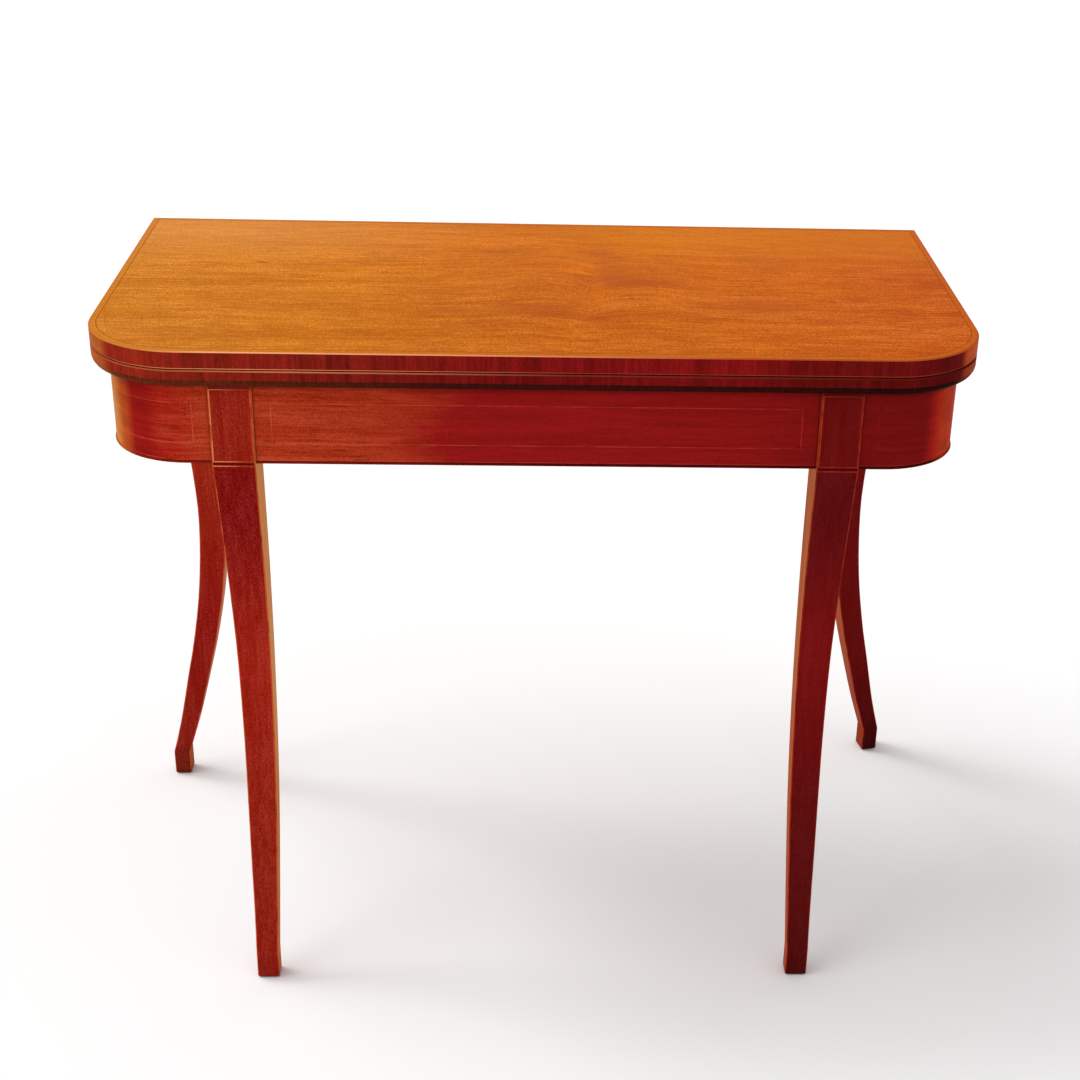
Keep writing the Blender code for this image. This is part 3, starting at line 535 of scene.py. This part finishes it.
def top_figure(p, colour, across):
    """Dark and light places of the veneer, its pores and a few short marks."""
    wobble = (p.noise(p.vector(p.x * 26.0, p.y * 26.0, 2.0), 1.0, 4.0, 0.7) - 0.5) * 0.024
    x, y = p.x + wobble, p.y + wobble * 0.8
    colour = p.scaled(colour, 1.0 + p.blobs(x, y, LIGHT_SPOTS) * 0.10)
    colour = p.mix(p.blobs(x, y, DARK_SPOTS) * 0.54, colour, seen(178, 80, 26, TOP_LIGHT))
    long_pores = p.noise(p.vector(p.x * 30.0, across * 560.0, 5.0), 1.0, 2.0, 0.5)
    short_pores = p.noise(p.vector(p.x * 75.0, across * 640.0, 8.0), 1.0, 1.0, 0.5)
    pores = p.ramp(long_pores, 0.66, 0.78)
    ticks = p.ramp(short_pores, 0.74, 0.80)
    colour = p.scaled(colour, (1.0 - pores * 0.28) * (1.0 - ticks * 0.35))
    marks = 0.0
    for x0, y0, length, width, slant in MARKS:
        marks = p.blob(p.x, p.y - (p.x - x0) * slant, x0, y0, length, width) + marks
    marks = p.least(marks, 1.0)
    return p.mix(marks * 0.6, colour, seen(104, 50, 18, TOP_LIGHT)), pores


def top_border(p, colour, base):
    """The cross-grained border of the top with its two lines, and the worn edge."""
    border = leaf_distance(p, BORDER_ENDS, BORDER_FRONT, BORDER_BACK, BORDER_CORNER)
    band = p.noise(p.vector(p.x * 190, p.y * 190, 0.0), 1.0, 4.0, 0.6)
    banded = p.scaled(base, p.ramp(band, 0.3, 0.7, 0.88, 1.10) * speckle(p, 0.06))
    colour = p.mix((border > 0.0) * 0.8, colour, banded)
    colour = p.mix(p.line(border, 0.0010) * 0.62, colour, seen(122, 56, 20, TOP_LIGHT))
    inner = p.line(border + BORDER_INNER, 0.0005)
    colour = p.mix(inner * 0.28, colour, seen(140, 66, 20, TOP_LIGHT))
    worn = p.ramp(leaf_distance(p), -0.0034, -0.0012)
    return p.mix(worn * 0.25, colour, seen(140, 62, 26, TOP_LIGHT))


def paint_upper_leaf():
    """Golden top with a plume in its grain, red edges with pale arrises, red underside."""
    p = Paint("golden_veneer")
    sway = p.noise(p.vector(p.x * 2.2, p.y * 4.0, 0.0), 1.0, 2.0) * 0.030
    spine = p.x - 0.060 - p.y * 0.08
    plume = p.blob(spine, p.y, 0.0, 0.0, 0.075, 0.17)
    across = p.y + sway + plume * (abs(spine) * -0.75)
    fine = p.noise(p.vector(p.x * 20.0 + 1.7, across * 230.0, p.z * 20.0), 1.0, 6.0, 0.68, 0.3)
    threads = p.noise(p.vector(p.x * 60.0 + 4.2, across * 820.0, 0.4), 1.0, 3.0, 0.6)
    broad = p.noise(p.vector(p.x * 3.4 + 9.0, across * 38.0, 0.9), 1.0, 4.0, 0.6, 0.5)
    mottle = p.noise(p.vector(p.x * 11.0, p.y * 19.0, 0.3), 1.0, 3.0, 0.6, 0.6)
    streaks = fine * 0.38 + threads * 0.22 + broad * 0.24 + mottle * 0.16
    tone = p.ramp(streaks, 0.38, 0.62, 0.81, 1.19)
    base = p.blend(p.x + (mottle - 0.5) * 0.16, TOP_TONES)
    colour = p.scaled(base, p.ramp(p.y, -0.10, 0.22, 0.98, 1.10))
    colour = p.grained(colour, (tone * speckle(p, 0.24) - 1.03) * 0.36)
    hazy = p.ramp(p.y, 0.02, 0.22) * p.ramp(p.x, -0.40, 0.05, 1.0, 0.0)
    colour = p.mix(hazy * 0.45, colour, seen(222, 150, 84, TOP_LIGHT))
    golden = p.ramp(p.y, 0.02, 0.20) * p.ramp(p.x, -0.15, 0.15)
    colour = p.mix(golden * 0.45, colour, seen(211, 126, 22, TOP_LIGHT))
    colour, pores = top_figure(p, colour, across)
    colour = top_border(p, colour, base)
    red, _ = edge_colour(p)
    level = abs(p.nz)
    colour = p.mix(p.ramp(level, 0.80, 0.95), side_gold_and_sheen(p, red, UPPER_GOLD), colour)
    pale = p.mix(p.nz > 0.0, p.blend(p.x, UNDER_ARRIS), p.blend(p.x, UPPER_ARRIS))
    colour = p.mix(arris(p, level), colour, pale)
    colour = p.mix(p.ramp(-p.nz, 0.80, 0.95), colour, red)
    rough = p.ramp(mottle, 0.3, 0.7, 0.34, 0.46)
    return p.finish(colour, rough, GLOSS, fine - pores * 0.4, 0.06)


def paint_lower_leaf():
    """Red edges with a pale upper arris, darker to the right in part as painted shade, a moulding
    under them painted dark as shade, plain boards beneath.
    """
    p = Paint("red_leaf")
    colour, fine = edge_colour(p, p.ramp(p.x, -0.32, 0.02, 0.96, 0.76))
    colour = side_gold_and_sheen(p, colour, LOWER_GOLD)
    # The moulding under the leaf's edge is painted dark as shade under the overhang, near black
    # to the right
    brown = p.scaled(p.blend(p.x, MOULDING_TONES), p.ramp(fine, 0.3, 0.7, 0.7, 1.3))
    brown = side_gold_and_sheen(p, brown, MOULDING_GOLD, MOULDING_TURN)
    colour = p.mix(p.ramp(p.z, MOULDING_TOP, MOULDING_TOP - 0.0010), colour, brown)
    colour = p.mix(arris(p, p.nz), colour, p.blend(p.x, LOWER_ARRIS))
    boards = p.noise(p.vector(p.x * 8.0, p.y * 180.0, 0.0), 1.0, 4.0, 0.6, 0.4)
    plain = p.mix(p.ramp(boards, 0.3, 0.7), srgb(112, 50, 26), srgb(160, 84, 44))
    colour = p.mix(p.ramp(-p.nz, 0.95, 0.99), colour, plain)
    return p.finish(colour, 0.42, GLOSS, fine, 0.05)


def frieze_veneer(p):
    """Orange brown at the left and deep red to the right, in part as painted light from the left;
    brighter red, amber and golden on the round ends, in part as a painted sheen.
    """
    fine = p.noise(p.vector(p.x * 16.0, p.y * 16.0, p.z * 330.0 + 4.1), 1.0, 5.0, 0.66, 0.3)
    broad = p.noise(p.vector(p.x * 5.0, p.y * 5.0, p.z * 60.0), 1.0, 3.0, 0.6, 0.5)
    drift = (p.noise(p.vector(p.x * 9.0, p.y * 9.0, p.z * 24.0), 1.0, 3.0, 0.6) - 0.5) * 0.16
    tone = p.ramp(fine * 0.6 + broad * 0.4, 0.36, 0.64, -0.18, 0.18)
    left = p.ramp(p.x, -0.05, -0.22)
    strong = left * 0.65 + 0.35
    base = p.blend(p.x + drift, FRIEZE_TONES)
    colour = p.scaled(base, 1.0 + tone * (0.75 - left * 0.6))
    worn = tone * left * 0.85 + (speckle(p, 0.16) - 1.0) * strong
    colour = p.grained(colour, worn * 0.28)
    dashes = p.noise(p.vector(p.x * 42.0 + 5.0, p.y * 42.0, p.z * 700.0), 1.0, 2.0)
    colour = p.mix(p.ramp(dashes, 0.58, 0.70) * strong * 0.7, colour, seen(98, 24, 14))
    vivid = p.scaled(p.mix(p.x > 0.0, *FRIEZE_RED), 1.0 + tone)
    near_end = p.ramp(-p.x, 0.376, 0.398) + p.ramp(p.x, 0.396, 0.412)
    colour = p.mix(near_end, colour, vivid)
    colour = side_gold_and_sheen(p, colour, FRIEZE_AMBER, AMBER_TURN)
    return side_gold_and_sheen(p, colour, FRIEZE_GOLD, FRIEZE_TURN), fine


def frieze_lines(p, colour):
    """The panels' inlaid lines and the long one below them, worn in places, with nicks."""
    half = LINE / 2
    place = abs(p.x)
    level = p.line(p.z - PANEL_TOP) + p.line(p.z - PANEL_BOTTOM)
    end_upright = p.line(place - END_PANEL_START) * (p.y < END_PANEL_FRONT)
    upright = p.line(place - PANEL_END) + end_upright
    between = (p.z < PANEL_TOP + half) * (p.z > PANEL_BOTTOM - half)
    within = p.greatest(place < PANEL_END + half, place > END_PANEL_START - half)
    lines = p.least(p.greatest(level * within, upright * between), 1.0)
    worn = p.noise(p.vector(p.x * 46, p.y * 46, p.z * 46), 1.0, 3.0)
    worn = p.ramp(worn, 0.35, 0.6, 0.3, 1.0)
    faint = p.ramp(p.x, 0.28, 0.34, 1.0, 0.25)
    pale = p.blend(p.x, LINE_TONES)
    colour = p.mix(lines * worn * faint * 0.75, colour, pale)
    colour = p.mix(p.line(p.z - LOW_LINE, 0.0009) * worn * 0.6, colour, pale)
    return p.mix(p.blobs(place, p.z, NICKS) * 0.6, colour, DARK)


def frieze_joins_and_shade(p, colour):
    """A dark join over the bead, a painted shadow at each side of the tablets and painted shade
    under the leaf.
    """
    join = p.ramp(p.z, FRAME_BOTTOM + 0.0034, FRAME_BOTTOM + 0.0022)
    join = join * p.ramp(abs(p.x), 0.38, 0.42, 1.0, 0.0)
    colour = p.mix(join * 0.6, colour, DARK)
    # Painted shadow of each tablet: a dark band at both its sides on the front
    beside = p.ramp(abs(abs(p.x) - LEG_PLACE), 0.0218, 0.0240, 1.0, 0.0) * (p.ny < -0.9)
    colour = p.mix(beside * 0.55, colour, DARK)
    # Painted shade under the leaf's overhang, darkest at the frieze's top
    under = p.ramp(p.z, FRIEZE_TOP - 0.0110, FRIEZE_TOP - 0.0010)
    return p.mix(under * 0.45, colour, DARK)


def paint_rail(name, side):
    """Veneer outside, plain wood inside and under. Side is -1 left, 0 front, 1 right."""
    p = Paint(f"veneer_{name}")
    colour, fine = frieze_veneer(p)
    colour = frieze_joins_and_shade(p, frieze_lines(p, colour))
    if side:
        across = p.greatest(p.x * side - (HALF - OVERHANG - FRIEZE_CORNER), 0.0)
        along = p.greatest(FRIEZE_FRONT + FRIEZE_CORNER - p.y, 0.0)
        deep = FRIEZE_CORNER - p.math("SQRT", across ** 2 + along ** 2)
        inner = p.greatest(deep > VENEER, abs(p.nz) > 0.5)
    else:
        inner = p.greatest(p.ny > 0.5, abs(p.nz) > 0.5, p.y > FRIEZE_FRONT + VENEER)
    plain = p.noise(p.vector(p.x * 10.0, p.y * 10.0, p.z * 190.0), 1.0, 4.0, 0.6, 0.5)
    plain = p.mix(p.ramp(plain, 0.3, 0.7), srgb(150, 96, 52), srgb(190, 138, 84))
    return p.finish(p.mix(inner, colour, plain), 0.42, GLOSS, fine, 0.06)


# Paint of the legs, as heights, the colours seen there and the share of light they have. The left
# legs are lighter than the right ones, in part as painted light from the left.
LEG_TONES = {
    "front_leg_left": (
        (0.0, seen(126, 26, 18, LOW_LIGHT)), (0.12, seen(131, 32, 18, 0.74)),
        (0.38, seen(152, 35, 22)), (0.54, seen(121, 18, 16)),
    ),
    "front_leg_right": (
        (0.0, seen(72, 12, 12, LOW_LIGHT)), (0.21, seen(92, 14, 14, 0.79)),
        (0.385, seen(114, 17, 16)), (0.54, seen(88, 13, 14)),
    ),
    "rear_leg_left": (
        (0.0, seen(94, 23, 12, LOW_LIGHT)), (0.05, seen(126, 28, 18, 0.72)),
        (0.235, seen(141, 27, 20, 0.84)), (0.49, seen(155, 43, 24, 0.78)),
    ),
    "rear_leg_right": (
        (0.0, seen(56, 8, 8, LOW_LIGHT)), (0.15, seen(92, 13, 12, 0.74)),
        (0.30, seen(100, 15, 14, 0.78)),
    ),
}

# Paint of the legs' golden sides, low down and higher up: in part the wood's paler tone, in part
# a painted sheen of light at a grazing angle
LEG_SIDES = {
    "front_leg_left": (seen(174, 88, 34, 0.76), seen(190, 120, 52, 0.76)),
    "front_leg_right": (seen(158, 66, 16), seen(170, 82, 14)),
    "rear_leg_left": (seen(170, 84, 34, LEFT_LIGHT), seen(186, 104, 42, 0.84)),
    "rear_leg_right": (seen(140, 52, 24), seen(160, 78, 32)),
}

# Paint of the tablets and of their lines, from the left side to the right one. The right tablet
# is darker, in part as painted shade.
TABLETS = {"front_leg_left": seen(139, 31, 18), "front_leg_right": seen(97, 13, 12)}
TABLET_LINES = {
    "front_leg_left": (seen(226, 132, 78), seen(196, 66, 42)),
    "front_leg_right": (seen(176, 46, 34), seen(150, 38, 30)),
}


def tablet_lines(p, colour, name, worn):
    """The tablet's inlaid lines, the groove under it and the shade of the leaf on it."""
    x = p.x - (-LEG_PLACE if "left" in name else LEG_PLACE)
    face = (p.ny < -0.8) * (abs(x) < TABLET_HALF + 0.0007)
    uprights = p.line(abs(x) - TABLET_HALF, 0.0009) * (p.z > LOW_LINE - 0.0005)
    level = p.line(p.z - LOW_LINE, 0.0010) + p.line(p.z - TABLET_TOP)
    lines = p.greatest(uprights, level) * (p.z < TABLET_TOP + LINE / 2)
    lines = p.least(lines + p.line(p.z - UNDER_LINE, 0.0010), 1.0)
    pale = p.mix(p.ramp(x, -TABLET_HALF, TABLET_HALF), *TABLET_LINES[name])
    colour = p.mix(lines * face * worn * 0.8, colour, pale)
    colour = p.mix(p.line(p.z - GROOVE_HEIGHT, GROOVE) * face * 0.8, colour, DARK)
    return p.mix(p.ramp(p.z, 0.6900, 0.7005) * 0.5, colour, DARK)


def paint_leg(name):
    """Upright grain, pale worn corners, golden sides in part as a painted sheen, painted shade at
    the foot's lowest edge and, in front, the tablet's lines.
    """
    p = Paint(f"{name}_finish")
    left, front = "left" in name, "front" in name
    fine = p.noise(p.vector(p.x * 260.0, p.y * 260.0, p.z * 13.0 + 2.2), 1.0, 5.0, 0.64, 0.3)
    broad = p.noise(p.vector(p.x * 60.0, p.y * 60.0, p.z * 5.0), 1.0, 3.0, 0.6, 0.4)
    tone = p.ramp(fine * 0.6 + broad * 0.4, 0.36, 0.64, 0.87, 1.13) * speckle(p, 0.24)
    base = p.blend(p.z, LEG_TONES[name])
    if front:
        base = p.mix(p.z > FRAME_BOTTOM, base, TABLETS[name])
    base = p.mix(p.ramp(p.ny, 0.6, 0.9, 0.0, 0.5), base, BACK_BROWN)
    colour = p.grained(base, (tone - 1.0) * (0.25 if left else 0.10))
    pores = p.noise(p.vector(p.x * 500.0, p.y * 500.0, p.z * 60.0), 1.0, 2.0)
    pores = p.ramp(pores, 0.66, 0.76)
    colour = p.mix(pores * 0.3, colour, DARK)
    gold = p.mix(p.ramp(p.z, 0.05, 0.36), *LEG_SIDES[name])
    gold = p.scaled(gold, p.ramp(fine, 0.3, 0.7, 0.88, 1.10) * speckle(p, 0.06))
    outward = -p.nx if left else p.nx
    brown = p.mix(p.ramp(fine, 0.3, 0.7), seen(128, 46, 22), seen(158, 70, 32))
    gold = p.mix(p.ramp(outward, 0.5, 0.8), gold, brown)
    colour = p.mix(p.ramp(abs(p.nx), 0.80, 0.93), colour, gold)
    corner = p.ramp(p.least(abs(p.nx), abs(p.ny)), 0.35, 0.55)
    worn = p.ramp(p.noise(p.place, 60.0, 3.0), 0.35, 0.6, 0.35, 1.0)
    # Paler corners on the left legs, in part as painted light from the left
    pale = seen(206, 96, 44) if left else seen(164, 48, 32)
    colour = p.mix(corner * worn * 0.65, colour, pale)
    if front:
        colour = tablet_lines(p, colour, name, worn)
    ankle = (0.026, 0.036) if front else (0.036, 0.048)
    colour = p.scaled(colour, 1.0 - p.ramp(p.z, *ankle, 1.0, 0.0) * 0.12)
    # Painted contact shade on the foot's lowest 4 mm, where it meets the floor
    colour = p.mix(p.ramp(p.z, 0.004, 0.0, 0.0, 0.6), colour, DARK)
    rough = p.ramp(broad, 0.3, 0.7, 0.36, 0.48)
    return p.finish(colour, rough, GLOSS, fine - pores * 0.3, 0.06)


def paint_bead():
    """Dark bead, lighter to the left in part as painted light, golden on the round ends in part
    as a painted sheen, with painted shade on its underside.
    """
    p = Paint("bead_dark")
    fine = p.noise(p.vector(p.x * 60, p.y * 60, p.z * 60), 1.0, 3.0)
    colour = p.scaled(p.blend(p.x, BEAD_TONES), p.ramp(fine, 0.3, 0.7, 0.8, 1.2))
    colour = side_gold_and_sheen(p, colour, BEAD_GOLD, BEAD_TURN)
    # Painted shade on the bead's underside
    colour = p.mix(p.ramp(-p.nz, 0.7, 0.95), colour, DARK)
    return p.finish(colour, 0.45, GLOSS, fine, 0.05)


def paint_plain_wood(name, scales, light, dark):
    """Plain wood of the inside, with its grain and dirt. Scales are small along the grain."""
    p = Paint(name)
    warp = p.noise(p.place, 7.0, 2.0) * 0.6
    places = (p.x, p.y, p.z)
    rings = p.vector(*(place * scale + warp for place, scale in zip(places, scales)))
    fine = p.noise(rings, 1.0, 5.0, 0.6, 0.6)
    broad = p.noise(rings, 0.25, 2.0, 0.5, 1.0)
    colour = p.mix(p.ramp(fine * 0.5 + broad * 0.5, 0.34, 0.66), dark, light)
    dirt = p.noise(p.place, 18.0, 4.0, 0.6)
    colour = p.mix(p.ramp(dirt, 0.50, 0.75) * 0.5, colour, p.scaled(dark, 0.45))
    return p.finish(colour, 0.68, 0.2, fine, 0.25)


def paint_baize():
    """Green cloth with a soft nap, paler where it is worn."""
    p = Paint("green_baize")
    nap = p.noise(p.place, 900.0, 4.0, 0.7)
    weave = p.noise(p.place, 2600.0, 2.0, 0.6)
    worn = p.noise(p.vector(p.x * 7.0, p.y * 7.0, 0.0), 1.0, 4.0, 0.6, 0.5)
    colour = p.mix(p.ramp(nap, 0.3, 0.7), srgb(22, 74, 38), srgb(44, 104, 54))
    colour = p.mix(p.ramp(worn, 0.52, 0.75) * 0.35, colour, srgb(74, 112, 58))
    colour = p.mix(p.ramp(weave, 0.55, 0.75) * 0.3, colour, srgb(18, 56, 32))
    made = p.finish(colour, 0.95, 0.1, nap + weave * 0.6, 0.4, 0.0005)
    p.shader.inputs["Sheen Weight"].default_value = 0.07
    p.shader.inputs["Sheen Roughness"].default_value = 0.5
    return made


def paint_metal(name, light, dark, roughness):
    """Old, stained metal, rougher where it is dark."""
    p = Paint(name)
    stain = p.noise(p.place, 160.0, 4.0, 0.6)
    brushed = p.noise(p.vector(p.x * 300, p.y * 1500, p.z * 5000), 1.0, 3.0)
    colour = p.mix(p.ramp(stain, 0.42, 0.68), light, dark)
    rough = p.ramp(stain, 0.35, 0.7, roughness, roughness + 0.25)
    made = p.finish(colour, rough, 0.5, brushed + stain, 0.12, 0.0002)
    p.shader.inputs["Metallic"].default_value = 1.0
    return made


# Pieces


def baize_outline(low, high):
    """The D shape of a lining with the given box, from its left back corner round the front."""
    radius = CORNER - (HALF - high.x)
    half, front = high.x, low.y
    outline = [(-half, high.y)]
    for step in range(CORNER_STEPS + 1):
        turn = math.pi + math.pi / 2 * step / CORNER_STEPS
        x = -half + radius + radius * math.cos(turn)
        outline.append((x, front + radius + radius * math.sin(turn)))
    outline += [(-x, y) for x, y in reversed(outline)]
    return outline, radius


def baize_piece(name, node, body, facing):
    """A thin sheet glued in its recess, with a slightly rounded rim. Facing is 1 up, -1 down."""
    low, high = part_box(node)
    outline, radius = baize_outline(low, high)
    middle = (low.y + high.y) / 2
    face, back_face = (high.z, low.z) if facing > 0 else (low.z, high.z)
    bm = bmesh.new()
    rings = []
    for inset, z in ((0.0, back_face), (0.0, face - facing * RIM_DROP), (RIM_INSET, face)):
        ring = []
        for x, y in outline:
            inner_x = x - math.copysign(inset, x)
            inner_y = y - math.copysign(inset, y - middle)
            ring.append(bm.verts.new((inner_x, inner_y, z)))
        rings.append(ring)
    count = len(outline)
    for lower, upper in zip(rings, rings[1:]):
        for i in range(count):
            j = (i + 1) % count
            bm.faces.new((lower[i], lower[j], upper[j], upper[i]))
    bm.faces.new(rings[0][::-1])
    bm.faces.new(rings[-1])
    bmesh.ops.recalc_face_normals(bm, faces=bm.faces)
    mesh = bpy.data.meshes.new(name)
    bm.to_mesh(mesh)
    bm.free()
    mesh.materials.append(baize)
    piece = bpy.data.objects.new(name, mesh)
    bpy.context.scene.collection.objects.link(piece)
    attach(piece, body)
    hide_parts(node)
    width, depth = 2 * high.x, high.y - low.y
    flat_area = width * depth - 2 * (1 - math.pi / 4) * radius * radius


def cut_screw_slots(body, names):
    """One hidden cutter on a body gives the heads of its screws their slots."""
    bm = bmesh.new()
    for number, name in enumerate(names):
        low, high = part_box(name)
        middle = (low + high) / 2
        size = high - low
        if size.x == max(size):
            side = math.copysign(1.0, middle.x)
            head = Vector((high.x if side > 0 else low.x, middle.y, middle.z))
            outward = Vector((side, 0, 0))
        elif size.y == max(size):
            head, outward = Vector((middle.x, high.y, middle.z)), Vector((0, 1, 0))
        else:
            head, outward = Vector((middle.x, middle.y, low.z)), Vector((0, 0, -1))
        facing = outward.to_track_quat("Z", "Y").to_matrix().to_4x4()
        turned = facing @ Matrix.Rotation(SLOT_TURN * number, 4, "Z")
        shape = Matrix.Diagonal((SLOT_LENGTH, SLOT_WIDTH, 2 * SLOT_DEPTH, 1))
        bmesh.ops.create_cube(bm, size=1, matrix=Matrix.Translation(head) @ turned @ shape)
    mesh = bpy.data.meshes.new(f"slot_cutter_{body}")
    bm.to_mesh(mesh)
    bm.free()
    cutter = bpy.data.objects.new(mesh.name, mesh)
    bpy.context.scene.collection.objects.link(cutter)
    cutter.hide_render = True
    cutter.display_type = "WIRE"
    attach(cutter, body)
    for name in names:
        cut = nodes[name].modifiers.new("slot", "BOOLEAN")
        cut.operation = "DIFFERENCE"
        cut.solver = "EXACT"
        cut.object = cutter


add_camera()
add_floor()
add_lights()

baize = paint_baize()
brass = paint_metal("old_brass", srgb(206, 164, 92), srgb(128, 92, 48), 0.30)
iron = paint_metal("dark_iron", srgb(120, 112, 104), srgb(66, 54, 46), 0.45)
bead = paint_bead()
pine_colours = (srgb(206, 164, 108), srgb(160, 112, 64))
pine_x = paint_plain_wood("pine_along", (9.0, 120.0, 120.0), *pine_colours)
pine_y = paint_plain_wood("pine_across", (120.0, 9.0, 120.0), *pine_colours)
pine_z = paint_plain_wood("pine_upright", (120.0, 120.0, 9.0), *pine_colours)
beech_colours = (srgb(190, 138, 90), srgb(150, 98, 58))
beech_x = paint_plain_wood("beech_along", (8.0, 150.0, 150.0), *beech_colours)

materials = {
    "upper_leaf": paint_upper_leaf(),
    "lower_leaf": paint_lower_leaf(),
    "front_rail": paint_rail("front_rail", 0),
    "end_rail_left": paint_rail("end_rail_left", -1),
    "end_rail_right": paint_rail("end_rail_right", 1),
    "inner_back_rail": pine_x,
    "medial_rail": pine_y,
}
for name in LEG_TONES:
    materials[name] = paint_leg(name)
for name in ("leaf_tenon", "hinge_rail", "fly_rail_left", "fly_rail_right"):
    materials[name] = beech_x
for name, node in nodes.items():
    if name in materials:
        material = materials[name]
    elif name.startswith("bead"):
        material = bead
    elif "block" in name:
        material = pine_z
    elif name.startswith("hinge_"):
        material = iron if "screw" in name else brass
    else:
        material = iron
    node.data.materials.clear()
    node.data.materials.append(material)

baize_piece("baize_lower_sheet", "baize_lower", "frame", 1)
baize_piece("baize_upper_sheet", "baize_upper", "leaf", -1)

screws = [name for name in nodes if "screw" in name]
cut_screw_slots("leaf", [name for name in screws if "screw_upper" in name])
cut_screw_slots("frame", [name for name in screws if "screw_upper" not in name])

bpy.context.scene.view_settings.view_transform = "Standard"
